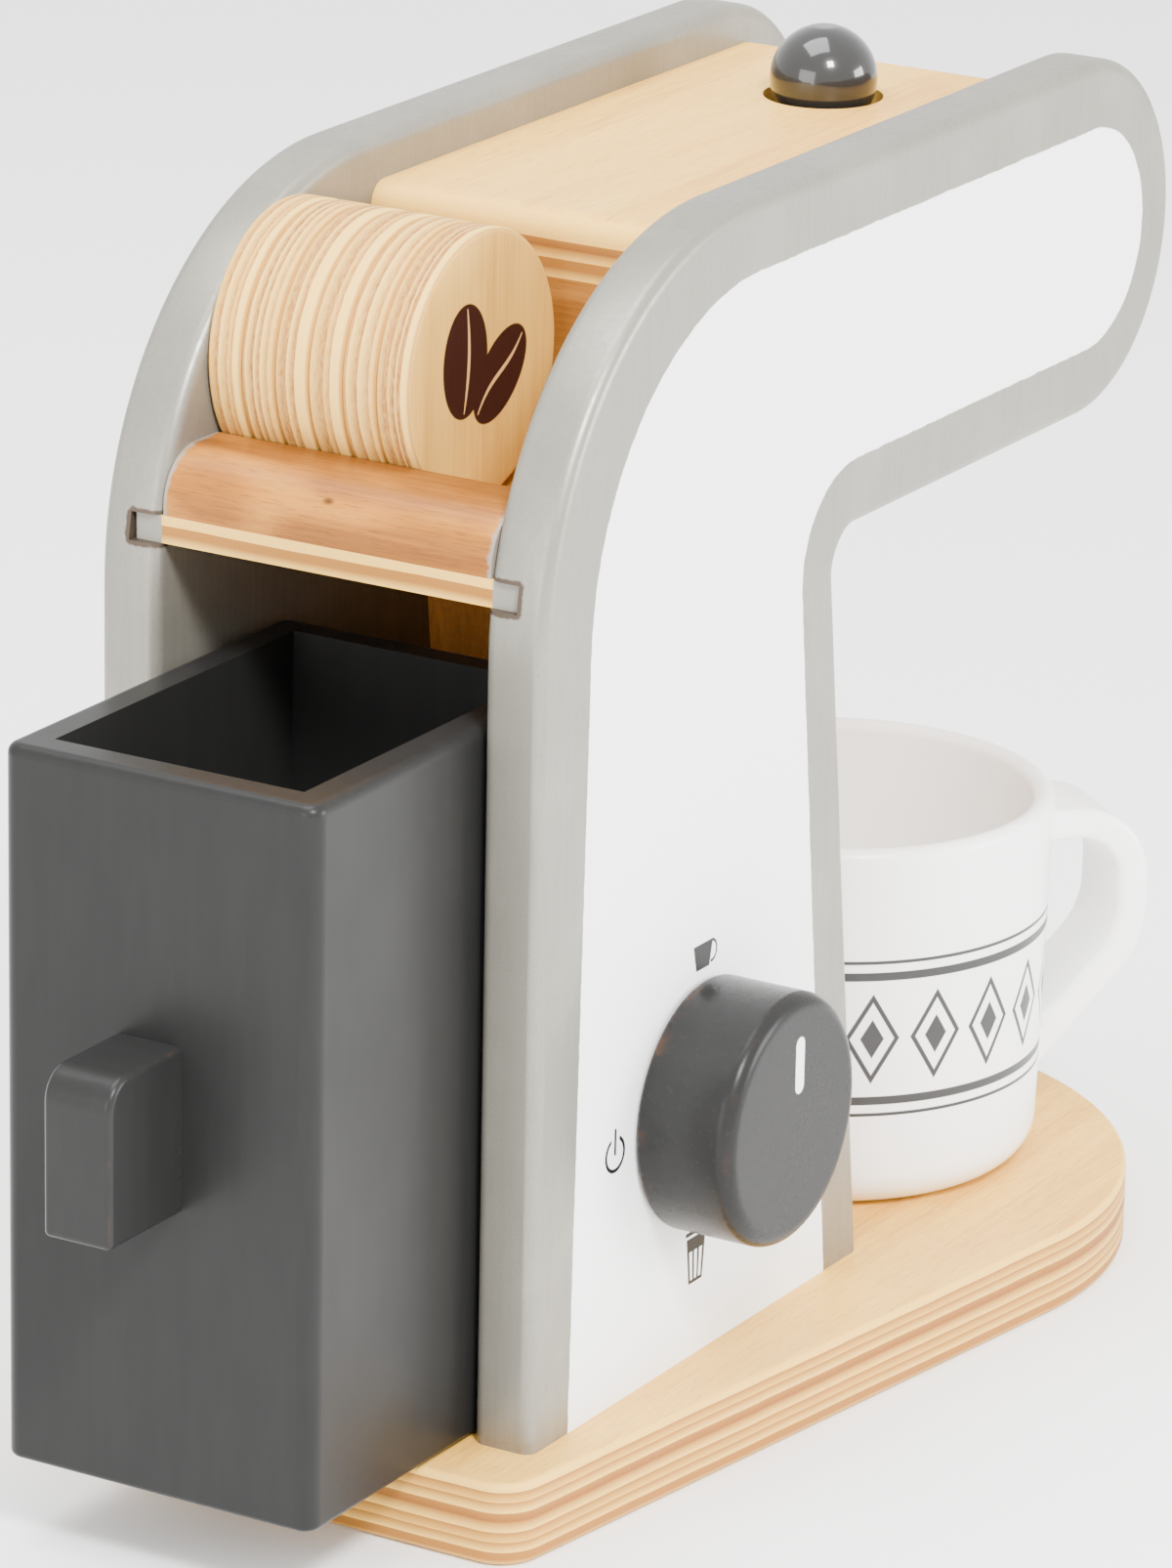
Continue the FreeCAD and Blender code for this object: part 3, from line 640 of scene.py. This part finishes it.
def takeFrom(piece, cutter):
    # cuts the cutter out of a piece, then marks the piece's sharp edges anew
    tool = piece.modifiers.new("notch", "BOOLEAN")
    tool.operation, tool.solver, tool.object = "DIFFERENCE", "EXACT", cutter
    result = bpy.data.meshes.new_from_object(piece.evaluated_get(bpy.context.evaluated_depsgraph_get()))
    piece.modifiers.clear()
    piece.data = result
    bpy.data.objects.remove(cutter)
    piece.data.set_sharp_from_angle(angle=math.radians(32))


def cutAway(piece, low, high):
    # takes a square notch out of a piece
    bpy.ops.mesh.primitive_cube_add(size=1.0)
    cutter = bpy.context.active_object
    sides = [(b - a) * mm for a, b in zip(low, high)]
    cutter.data.transform(Matrix.Translation(Vector((0.5, 0.5, 0.5))))
    cutter.data.transform(Matrix.Diagonal(Vector((*sides, 1.0))))
    cutter.data.transform(Matrix.Translation(Vector(low) * mm))
    takeFrom(piece, cutter)


def boreOut(piece, start, axis, length, radius):
    # takes a round hole out of a piece
    bpy.ops.mesh.primitive_cylinder_add(vertices=48, radius=radius * mm, depth=length * mm)
    cutter = bpy.context.active_object
    turn = Vector((0, 0, 1)).rotation_difference(Vector(axis)).to_matrix().to_4x4()
    middle = Vector(start) + Vector(axis) * (length / 2)
    cutter.data.transform(Matrix.Translation(middle * mm) @ turn)
    takeFrom(piece, cutter)


def keepNode(name, material):
    # a CAD node whose shape is right only gets its finish
    data = nodes[name].data
    data.materials.clear()
    data.materials.append(material)


screwPlan = {
    "base": {"across": (-39.2, 39.2), "along": (-18.0, -92.0), "low": 0.6, "head": 4.0, "shank": 2.0,
             "length": 30.0, "mouth": 4.05},
    "grip": {"x": 1.0, "y": 43.6, "heights": (76.5, 90.5), "head": 3.5, "shank": 1.75, "length": 18.6},
    "knob": {"y": -56.2, "z": 63.8, "mouth": 5.4, "depth": 5.6},
}

basePlan = {"thick": 15.3, "rearY": 14.2, "half": 50.2, "corner": 8.0, "trayRadius": 73.5, "trayY": -152.5,
            "edge": 1.2, "plies": [("cream", 1.2), ("tan", 1.3), ("cream", 1.9), ("pale", 1.9), ("cream", 2.0),
                                   ("orange", 1.6), ("cream", 2.0), ("pale", 1.9), ("cream", 1.5)]}


def baseOutline():
    p = basePlan
    across, down = p["half"], p["rearY"] - p["trayY"]
    d = math.hypot(across, down)
    tangent = math.atan2(down, across) - math.acos(p["trayRadius"] / d)
    start = math.degrees(tangent)
    tray = arcPoints((0.0, p["trayY"]), p["trayRadius"], start, -180.0 - start, 96)
    tx, ty = tray[0]
    corner = Vector((across, p["rearY"]))
    side = (Vector((tx, ty)) - corner).normalized()
    inward = Vector((-1.0, 0.0))
    half = side.angle(inward) / 2
    reach = p["corner"] / math.tan(half)
    centre = corner + (side + inward).normalized() * (p["corner"] / math.sin(half))
    first = corner + side * reach - centre
    last = corner + inward * reach - centre
    a0, a1 = math.degrees(math.atan2(first.y, first.x)), math.degrees(math.atan2(last.y, last.x))
    right = arcPoints(centre, p["corner"], a0, a1, 10)       # from the side up to the rear edge
    return tray + [(-x, y) for x, y in right] + right[::-1]


def makeBase():
    p = basePlan
    points, faces = boardMesh(baseOutline(), 0.0, p["thick"], p["edge"], lambda u, v, t: (u, v, t))
    wood = plywood("baseBirch", 2, 0.0, p["plies"], 1, seed=3.0, rough=0.40)
    board = newPiece("baseBoardLook", points, faces, wood, "machine", "birch_plywood", ["base_board"])
    screw = screwPlan["base"]
    for x in screw["across"]:
        for y in screw["along"]:
            boreOut(board, (x, y, -1.0), (0, 0, 1), 3.6, screw["mouth"])


panelPlan = {"inner": 33.2, "thick": 12.0, "top": 225.6, "rearRadius": 67.0, "armDepth": 68.0, "armEnd": -194.0,
             "legFoot": -117.1, "lean": 7.0, "fillet": 8.0, "edge": 2.4, "foot": 15.3,
             "groove": (6.1, -90.0, 5.0, 167.1, 172.1)}


def panelOutline():
    p = panelPlan
    lean = math.radians(p["lean"])
    armZ = p["top"] - p["armDepth"]
    armR = p["armDepth"] / 2
    cornerY = p["legFoot"] + (armZ - p["foot"]) * math.tan(lean)
    down = Vector((-math.sin(lean), -math.cos(lean)))
    along = Vector((-1.0, 0.0))
    half = (math.pi / 2 - lean) / 2
    centre = Vector((cornerY, armZ)) + (along + down).normalized() * (p["fillet"] / math.sin(half))
    out = [(0.0, p["foot"])]
    out += arcPoints((-p["rearRadius"], p["top"] - p["rearRadius"]), p["rearRadius"], 0.0, 90.0, 40)
    out += arcPoints((p["armEnd"], p["top"] - armR), armR, 90.0, 270.0, 60)
    out += arcPoints(tuple(centre), p["fillet"], 90.0, p["lean"], 12)
    out += [(p["legFoot"], p["foot"])]
    return out


def makePanels():
    p = panelPlan
    outline = panelOutline()
    free = [True] * len(outline)
    free[-1] = False      # the foot stands square on the base
    paint = makePanelPaint()
    depth, y0, y1, z0, z1 = p["groove"]
    for side, name, slot, node in ((-1, "knobPanelLook", "panel_paint", "knob_side_panel"),
                                   (1, "plainPanelLook", "silver_paint", "plain_side_panel")):
        inner = side * p["inner"]
        low, high = sorted((inner, side * (p["inner"] + p["thick"])))
        points, faces = boardMesh(outline, low, high, p["edge"], lambda u, v, t: (t, u, v), free)
        piece = newPiece(name, points, faces, paint, "machine", slot, [node])
        x0, x1 = sorted((inner - side * 0.5, side * (p["inner"] + depth)))
        cutAway(piece, (x0, y0, z0), (x1, y1, z1))
        if side < 0:
            bore = screwPlan["knob"]
            start = (inner - bore["depth"], bore["y"], bore["z"])
            boreOut(piece, start, (1, 0, 0), bore["depth"] + 1.0, bore["mouth"])


boardPlies = {
    "shelf": [("cream", 1.7), ("tan", 1.5), ("cream", 1.8)],
    "top": [("tan", 0.4), ("cream", 1.8), ("tan", 1.6), ("cream", 1.9), ("brown", 1.4), ("cream", 4.9)],
    "plain": [("cream", 1.4), ("tan", 1.8), ("cream", 1.9), ("tan", 1.8), ("cream", 1.9), ("tan", 1.8),
              ("cream", 1.4)],
}

boardPlans = {   # node: material, axis across the plies, where they begin, the plies, axis of the grain, the rest
    "pad_shelf": ("shelfBirch", 2, 167.1, "shelf", 0, {"seed": 11.0, "ends": 33.3}),
    "top_board": ("topBirch", 2, 205.5, "top", 1, {"seed": 5.0, "rough": 0.40}),
    "leg_front_board": ("legBirch", 1, -118.0, "plain", 2, {"seed": 17.0, "tint": (1.05, 0.72, 0.80)}),
    "arm_floor_board": ("armBirch", 2, 159.1, "plain", 1, {"seed": 23.0}),
    "arm_front_board": ("noseBirch", 1, -205.0, "plain", 0, {"seed": 29.0}),
}

solidPlans = {   # material: axis of the grain, its light, middle and dark tones, the rest, nodes that it dresses
    "restMaple": (0, (0.44, 0.178, 0.024), (0.32, 0.115, 0.014), (0.15, 0.045, 0.006),
                  {"seed": 2.0, "knot": (0.8, 179.6), "smear": 33.6}, ["pad_rest_strip"]),
    "wallBirch": (0, (0.42, 0.18, 0.036), (0.34, 0.138, 0.025), (0.23, 0.082, 0.013),
                  {"seed": 31.0}, ["pad_bay_wall"]),
    "dowelBeech": (2, (0.78, 0.55, 0.33), (0.70, 0.46, 0.25), (0.52, 0.31, 0.15),
                   {"seed": 41.0}, ["button_dowel", "button_flange"]),
}


def makeBoards():
    for node, (name, axis, low, plies, grain, extras) in boardPlans.items():
        keepNode(node, plywood(name, axis, low, boardPlies[plies], grain, **extras))
    for name, (grain, light, middle, dark, extras, kept) in solidPlans.items():
        wood = solidWood(name, grain, light, middle, dark, **extras)
        for node in kept:
            keepNode(node, wood)


knobPlan = {
    "y": -56.2, "z": 63.8, "radius": 23.1, "face": -45.5, "height": 19.1, "front": 3.0, "rear": 1.2,
    "ring": 0.4, "middle": 6.0,
    "worn": {"out": (21.6, 22.9), "rear": (-48.6, -46.2), "front": (-64.2, -62.6)},
    "mark": {"centre": (-57.7, 74.0), "half": (1.5, 5.3), "face": (-64.3, -64.0), "tone": (0.88, 0.88, 0.87)},
}


def knobBar(f):
    # the white mark on the knob's face
    mark = knobPlan["mark"]
    (cy, cz), (w, h) = mark["centre"], mark["half"]
    bar = f.slab(f.y - cy, f.z - cz, w, h, w).inside(0.12)
    return bar * f.x.fall(*mark["face"]), mark["tone"]


def makeKnob():
    p = knobPlan
    r, h = p["radius"], p["height"]
    profile = [(0.0, 0.0), (r - p["rear"] - p["ring"], 0.0)]
    profile += arcPoints((r - p["rear"], p["rear"]), p["rear"], -90, 0, 6)
    profile += arcPoints((r - p["front"], h - p["front"]), p["front"], 0, 90, 12)
    profile += [(r - p["front"] - p["ring"], h), (p["middle"], h), (0.0, h)]
    points, faces = turnedProfile(profile, 160)
    points = [(p["face"] - z, p["y"] + x, p["z"] + y) for x, y, z in points]

    def rim(f):
        worn = p["worn"]
        reach = f.length(f.y - p["y"], f.z - p["z"]).fade(*worn["out"])
        return reach * f.x.fade(*worn["rear"]).most(f.x.fall(*worn["front"]) * 0.5)

    paint = darkPaint("knobPaint", rim, 0.27, knobBar, spec=0.105, streak=0.0)
    newPiece("knobLook", points, faces, paint, "knob_set", "dark_paint", ["knob"])


ballPlan = {"y": -172.5, "z": 220.8, "radius": 10.1, "flat": 2.5, "rise": 0.03}


def makeBall():
    p = ballPlan
    r = p["radius"]
    lift = math.degrees(math.acos(p["flat"] / r))
    profile = [(0.0, -r)] + arcPoints((0, 0), r, -90, lift, 48)[1:]
    top = profile[-1][1] + p["rise"]
    profile += [(p["flat"] * 0.8, top), (0.0, top)]
    points, faces = turnedProfile(profile)
    points = [(x, p["y"] + y, p["z"] + z) for x, y, z in points]
    paint = darkPaint("ballPaint", rough=0.20, shine=0.9)
    newPiece("ballLook", points, faces, paint, "button", "dark_paint", ["button_ball"], 60.0)


# the painted box and its grip: where their faces lie, for the worn arrises
boxPlan = {"x": (-32.2, 31.0), "y": (-36.7, 50.2), "z": (15.6, 145.6)}
gripPlan = {"x": (-5.8, 7.8), "y": (None, 71.7), "z": (68.5, 98.5)}


def makeContainer():
    keepNode("spout", darkPaint("spoutPaint", rough=0.28))
    paint = darkPaint("containerPaint", lambda f: boxEdges(f, boxPlan, 0.9), 0.34, deep=0.90, worn=0.30, spec=0.130)
    for part in ("rear", "front", "near_side", "far_side", "floor"):
        keepNode("container_" + part, paint)
    paint = darkPaint("gripPaint", lambda f: boxEdges(f, gripPlan, 0.8), worn=0.40, spec=0.130)
    keepNode("container_grip", paint)


padPlan = {"count": 6, "radius": 24.35, "thick": 6.75, "round": 0.9, "ring": 0.4, "y": -39.4317,
           "z": 196.75, "first": 32.9, "pitch": 6.87}


def makePads():
    p = padPlan
    r, t, c = p["radius"], p["thick"], p["round"]
    profile = [(0.0, 0.0), (r - c - p["ring"], 0.0)]
    profile += arcPoints((r - c, c), c, -90, 0, 6)
    profile += arcPoints((r - c, t - c), c, 0, 90, 6)
    profile += [(r - c - p["ring"], t), (0.0, t)]
    for i in range(p["count"]):
        right = p["first"] - i * p["pitch"]
        points, faces = turnedProfile(profile, 128)
        points = [(right - z, p["y"] + x, p["z"] + y) for x, y, z in points]
        wood = padWood("padBirch%d" % (i + 1), padPlies[i], right, 13.0 * i, i == p["count"] - 1)
        newPiece("padLook%d" % (i + 1), points, faces, wood, "pad_%d" % (i + 1), "pad_plywood",
                 ["coffee_pad_%d" % (i + 1)])


cupPlan = {"x": -12.4, "y": -163.3, "z": 15.42, "rim": 41.3, "foot": 39.7, "height": 72.2, "wall": 4.2,
           "floor": 6.0, "footRound": 8.0, "innerRound": 6.0, "ring": 0.5, "under": 20.0, "within": 12.0}
earPlan = {"turn": 230.0, "thick": 20.0, "out": 60.9, "top": 80.9, "knee": 52.8, "slant": 42.5, "band": 6.2,
           "topRound": 15.0, "kneeRound": 21.0, "edge": 1.6, "root": 38.0}


def makeCup(paint):
    p = cupPlan
    f, g, t, h = p["footRound"], p["innerRound"], p["wall"], p["height"]
    profile = [(0.0, 0.0), (p["under"], 0.0), (p["foot"] - f - p["ring"], 0.0)]
    profile += arcPoints((p["foot"] - f, f), f, -90, 0, 14)
    profile += arcPoints((p["rim"] - t / 2, h - t / 2), t / 2, 0, 180, 16)
    inner = p["foot"] - t
    profile += arcPoints((inner - g, p["floor"] + g), g, 0, -90, 12)
    profile += [(inner - g - p["ring"], p["floor"]), (p["within"], p["floor"]), (0.0, p["floor"])]
    points, faces = turnedProfile(profile, 160)
    points = [(p["x"] + x, p["y"] + y, p["z"] + z) for x, y, z in points]
    newPiece("cupLook", points, faces, paint, "cup", "cup_paint", ["cup_body"], 50.0)


def makeEar(paint):
    p = earPlan
    slant = math.radians(p["slant"])

    def limb(inset, knee):
        # from the root along the top, round the corner and down to the root again
        out, top = p["out"] - inset, p["top"] - inset
        topRound, kneeRound = p["topRound"] - inset, p["kneeRound"] - inset
        path = [(p["root"], top)] + arcPoints((out - topRound, top - topRound), topRound, 90, 0, 18)
        centre = (out - kneeRound, knee + kneeRound * math.tan(slant / 2))
        path += arcPoints(centre, kneeRound, 0, -p["slant"], 18)
        return path + [(p["root"], knee - (out - p["root"]) / math.tan(slant))]

    band = p["band"]
    outline = limb(0.0, p["knee"]) + limb(band, p["knee"] + band * math.tan(slant / 2))[::-1]
    # the edges inside the cup's wall keep their place
    atRoot = [abs(u - p["root"]) < 1e-6 for u, v in outline]
    free = [not (a and b) for a, b in zip(atRoot, atRoot[1:] + atRoot[:1])]
    turn = math.radians(p["turn"])
    c, s = math.cos(turn), math.sin(turn)
    half = p["thick"] / 2

    def place(u, v, t):
        return (cupPlan["x"] + u * c - t * s, cupPlan["y"] + u * s + t * c, v)

    points, faces = boardMesh(outline, -half, half, p["edge"], place, free)
    newPiece("earLook", points, faces, paint, "cup", "cup_paint", ["cup_handle"])


def bakeTree(name, build, settings, material, body, slot, stands):
    # runs a node tree on an empty mesh and keeps the plain mesh it gives
    tree = bpy.data.node_groups.new(name + "Tree", "GeometryNodeTree")
    tree.interface.new_socket("Geometry", in_out="OUTPUT", socket_type="NodeSocketGeometry")
    tree.interface.new_socket("Material", in_out="INPUT", socket_type="NodeSocketMaterial")
    for key in settings:
        tree.interface.new_socket(key, in_out="INPUT", socket_type="NodeSocketFloat")
    source = tree.nodes.new("NodeGroupInput")
    sink = tree.nodes.new("NodeGroupOutput")
    made = wired(tree, "GeometryNodeRealizeInstances", {0: build(tree, source.outputs)})
    made = wired(tree, "GeometryNodeSetMaterial", {0: made, "Material": source.outputs["Material"]})
    tree.links.new(made, sink.inputs[0])
    holder = addObject(name + "Holder", bpy.data.meshes.new(name + "Empty"))
    modifier = holder.modifiers.new(name, "NODES")
    modifier.node_group = tree
    for item in tree.interface.items_tree:
        if item.in_out == "INPUT":
            modifier[item.identifier] = material if item.name == "Material" else float(settings[item.name])
    deps = bpy.context.evaluated_depsgraph_get()
    mesh = bpy.data.meshes.new_from_object(holder.evaluated_get(deps))
    holder.modifiers.clear()
    bpy.data.objects.remove(holder)
    return addPiece(name, mesh, body, slot, stands)


def wired(tree, kind, inputs, settings=None):
    # adds a node, sets or links its sockets (a list links to one socket in turn) and gives its first output
    made = tree.nodes.new(kind)
    for key, value in (settings or {}).items():
        setattr(made, key, value)
    for key, value in inputs.items():
        for one in value if isinstance(value, list) else [value]:
            if isinstance(one, bpy.types.NodeSocket):
                tree.links.new(one, made.inputs[key])
            else:
                made.inputs[key].default_value = one
    return made.outputs[0]


def worked(tree, operation, first, second):
    return wired(tree, "ShaderNodeMath", {0: first, 1: second}, {"operation": operation})


def makeSpring(steel):
    plan = {"Wire": 0.5 * mm, "Radius": 6.0 * mm, "Turns": 7.0, "Low": 171.72 * mm, "High": 199.76 * mm,
            "Back": -172.5 * mm}

    def build(tree, size):
        rise = worked(tree, "SUBTRACT", size["High"], size["Low"])
        coil = wired(tree, "GeometryNodeCurveSpiral", {"Resolution": 28, "Rotations": size["Turns"], "Height": rise,
                                                       "Start Radius": size["Radius"], "End Radius": size["Radius"]})
        wire = wired(tree, "GeometryNodeCurvePrimitiveCircle", {"Resolution": 12, "Radius": size["Wire"]})
        tube = wired(tree, "GeometryNodeCurveToMesh", {"Curve": coil, "Profile Curve": wire, "Fill Caps": True})
        place = wired(tree, "ShaderNodeCombineXYZ", {1: size["Back"], 2: size["Low"]})
        return wired(tree, "GeometryNodeTransform", {"Geometry": tube, "Translation": place})

    spring = bakeTree("springLook", build, plan, steel, "machine", "steel", ["button_spring"])
    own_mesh(spring)


# of a screw head's depth: where the shank starts and how deep both cuts go; of its radius: the cuts' sides
screwShares = {"start": 0.55, "cuts": (0.90, 0.80), "long": 1.15, "thin": 0.24}


def screwTree(tree, size, spots, turn):
    # a countersunk screw with a cross cut in its head, repeated on a row or grid of points
    share = screwShares
    rise = worked(tree, "SUBTRACT", size["Head"], size["Shank"])
    cross = wired(tree, "GeometryNodeMeshCone", {"Vertices": 40, "Radius Top": size["Shank"],
                                                 "Radius Bottom": size["Head"], "Depth": rise})
    start = worked(tree, "MULTIPLY", rise, share["start"])
    span = worked(tree, "SUBTRACT", size["Length"], start)
    half = worked(tree, "MULTIPLY", worked(tree, "ADD", size["Length"], start), 0.5)
    shank = wired(tree, "GeometryNodeMeshCylinder", {"Vertices": 24, "Radius": size["Shank"], "Depth": span})
    move = wired(tree, "ShaderNodeCombineXYZ", {2: half})
    stem = wired(tree, "GeometryNodeTransform", {"Geometry": shank, "Translation": move})
    long, thin = (worked(tree, "MULTIPLY", size["Head"], share[key]) for key in ("long", "thin"))
    for a, b, deep in zip((long, thin), (thin, long), share["cuts"]):
        sides = wired(tree, "ShaderNodeCombineXYZ", {0: a, 1: b, 2: worked(tree, "MULTIPLY", rise, deep)})
        bar = wired(tree, "GeometryNodeMeshCube", {"Size": sides})
        cross = wired(tree, "GeometryNodeMeshBoolean", {"Mesh 1": cross, "Mesh 2": bar},
                      {"operation": "DIFFERENCE", "solver": "EXACT"})
    screw = wired(tree, "GeometryNodeJoinGeometry", {0: [cross, stem]})
    return wired(tree, "GeometryNodeInstanceOnPoints", {"Points": spots, "Instance": screw, "Rotation": turn})


def makeScrews(steel):
    base, grip = screwPlan["base"], screwPlan["grip"]
    near, far = base["along"]
    left, right = base["across"]
    plan = {"Head": base["head"], "Shank": base["shank"], "Length": base["length"], "Low": base["low"],
            "Across": right - left, "Along": near - far, "Middle": (near + far) / 2}

    def under(tree, size):
        grid = wired(tree, "GeometryNodeMeshGrid", {"Size X": size["Across"], "Size Y": size["Along"],
                                                    "Vertices X": 2, "Vertices Y": 2})
        place = wired(tree, "ShaderNodeCombineXYZ", {1: size["Middle"], 2: size["Low"]})
        spots = wired(tree, "GeometryNodeTransform", {"Geometry": grid, "Translation": place})
        return screwTree(tree, size, spots, (0.0, 0.0, 0.4))

    plan = {key: value * mm for key, value in plan.items()}
    bakeTree("baseScrewsLook", under, plan, steel, "machine", "steel", ["base_screws"])
    low, high = grip["heights"]
    plan = {"Head": grip["head"], "Shank": grip["shank"], "Length": grip["length"], "Across": grip["x"],
            "Back": grip["y"], "Low": low, "High": high}

    def behind(tree, size):
        first, last = (wired(tree, "ShaderNodeCombineXYZ", {0: size["Across"], 1: size["Back"], 2: size[key]})
                       for key in ("Low", "High"))
        row = wired(tree, "GeometryNodeMeshLine", {"Count": 2, "Start Location": first, "Offset": last},
                    {"mode": "END_POINTS"})
        return screwTree(tree, size, row, (-math.pi / 2, 0.3, 0.0))

    plan = {key: value * mm for key, value in plan.items()}
    bakeTree("gripScrewsLook", behind, plan, steel, "container", "steel", ["grip_screws"])


stagePlan = {"floor": (0.93, 0.93, 0.925), "cloud": (0.90, 0.90, 0.90), "half": 4.0, "drop": 0.0003, "world": 1.9}


def makeStage():
    mesh = bpy.data.meshes.new("floorSheet")
    a = stagePlan["half"]
    mesh.from_pydata([(-a, -a, 0), (a, -a, 0), (a, a, 0), (-a, a, 0)], [], [(0, 1, 2, 3)])
    f = Finish("floorPaper", Specular_IOR_Level=0.2)
    tone = f.mix(f.noise(f.point, 0.004, 2.0, 0.5) * 0.1, stagePlan["floor"], stagePlan["cloud"])
    mesh.materials.append(f.finish(tone, f.noise(f.point, 0.01) * 0.1 + 0.75))
    floor = addObject("floorSheet", mesh)
    floor.location.z = -stagePlan["drop"]
    world = bpy.context.scene.world or bpy.data.worlds.new("studio")
    bpy.context.scene.world = world
    world.use_nodes = True
    sky = world.node_tree.nodes["Background"]
    sky.inputs["Color"].default_value = (1.0, 1.0, 1.0, 1.0)
    sky.inputs["Strength"].default_value = stagePlan["world"]


lightPlan = {   # place, width and height in metres, watts
    "keyLight": ((-0.95, 0.72, 1.35), (0.36, 0.36), 56.0),
    "sideLight": ((-1.5, -0.8, 0.42), (0.7, 0.6), 32.0),
    "topLight": ((0.2, 0.1, 1.6), (1.0, 1.0), 36.0),
    "rearFill": ((0.25, 1.7, 0.55), (1.2, 0.9), 20.0),
}


def makeLights():
    target = Vector((0.0, -0.07, 0.11))
    for name, (place, size, power) in lightPlan.items():
        data = bpy.data.lights.new(name, "AREA")
        data.shape = "RECTANGLE"
        data.size, data.size_y = size
        data.energy = power
        lamp = addObject(name, data)
        lamp.location = place
        lamp.rotation_euler = (target - Vector(place)).to_track_quat("-Z", "Y").to_euler()


# the camera fitted to the photograph: shifts and distance in mm, focal length and height in its pixels
cameraPlan = {"yaw": 30.663, "pitch": 18.48, "roll": 1.097, "shiftX": 36.401, "shiftY": 13.814,
              "distance": 1500.0 * math.exp(-0.069), "aim": (0.0, -20.0, 110.0), "focal": 8201.99,
              "height": 1605.0, "sensor": 36.0}


def makeCamera():
    p = cameraPlan
    yaw, pitch, roll = (math.radians(p[k]) for k in ("yaw", "pitch", "roll"))
    ahead = Vector((math.sin(yaw) * math.cos(pitch), -math.cos(yaw) * math.cos(pitch), -math.sin(pitch)))
    level = Vector((-math.cos(yaw), -math.sin(yaw), 0.0))
    over = level.cross(ahead)
    right = level * math.cos(roll) + over * math.sin(roll)
    up = over * math.cos(roll) - level * math.sin(roll)
    place = Vector(p["aim"]) + right * p["shiftX"] + up * p["shiftY"] - ahead * p["distance"]
    data = bpy.data.cameras.new("photoCamera")
    data.lens = p["focal"] / p["height"] * p["sensor"]
    data.sensor_width = p["sensor"]
    data.clip_start, data.clip_end = 0.05, 30.0
    camera = addObject("photoCamera", data)
    turn = Matrix((right, up, -ahead)).transposed().to_4x4()
    camera.matrix_world = Matrix.Translation(place * mm) @ turn
    bpy.context.scene.camera = camera


makeCamera()
makeStage()
makeLights()
print("camera, floor and lights made")
makeBase()
makePanels()
makeBoards()
print("base, panels and boards made")
makeKnob()
makeBall()
makeContainer()
print("knob, button, spout and container made")
makePads()
cupPaint = makeCupPaint()
makeCup(cupPaint)
makeEar(cupPaint)
print("pads and cup made")
steel = makeSteel("zincSteel")
for metalNode in ("knob_screw", "knob_washer"):
    keepNode(metalNode, steel)
makeScrews(steel)
makeSpring(steel)
print("screws and spring made")
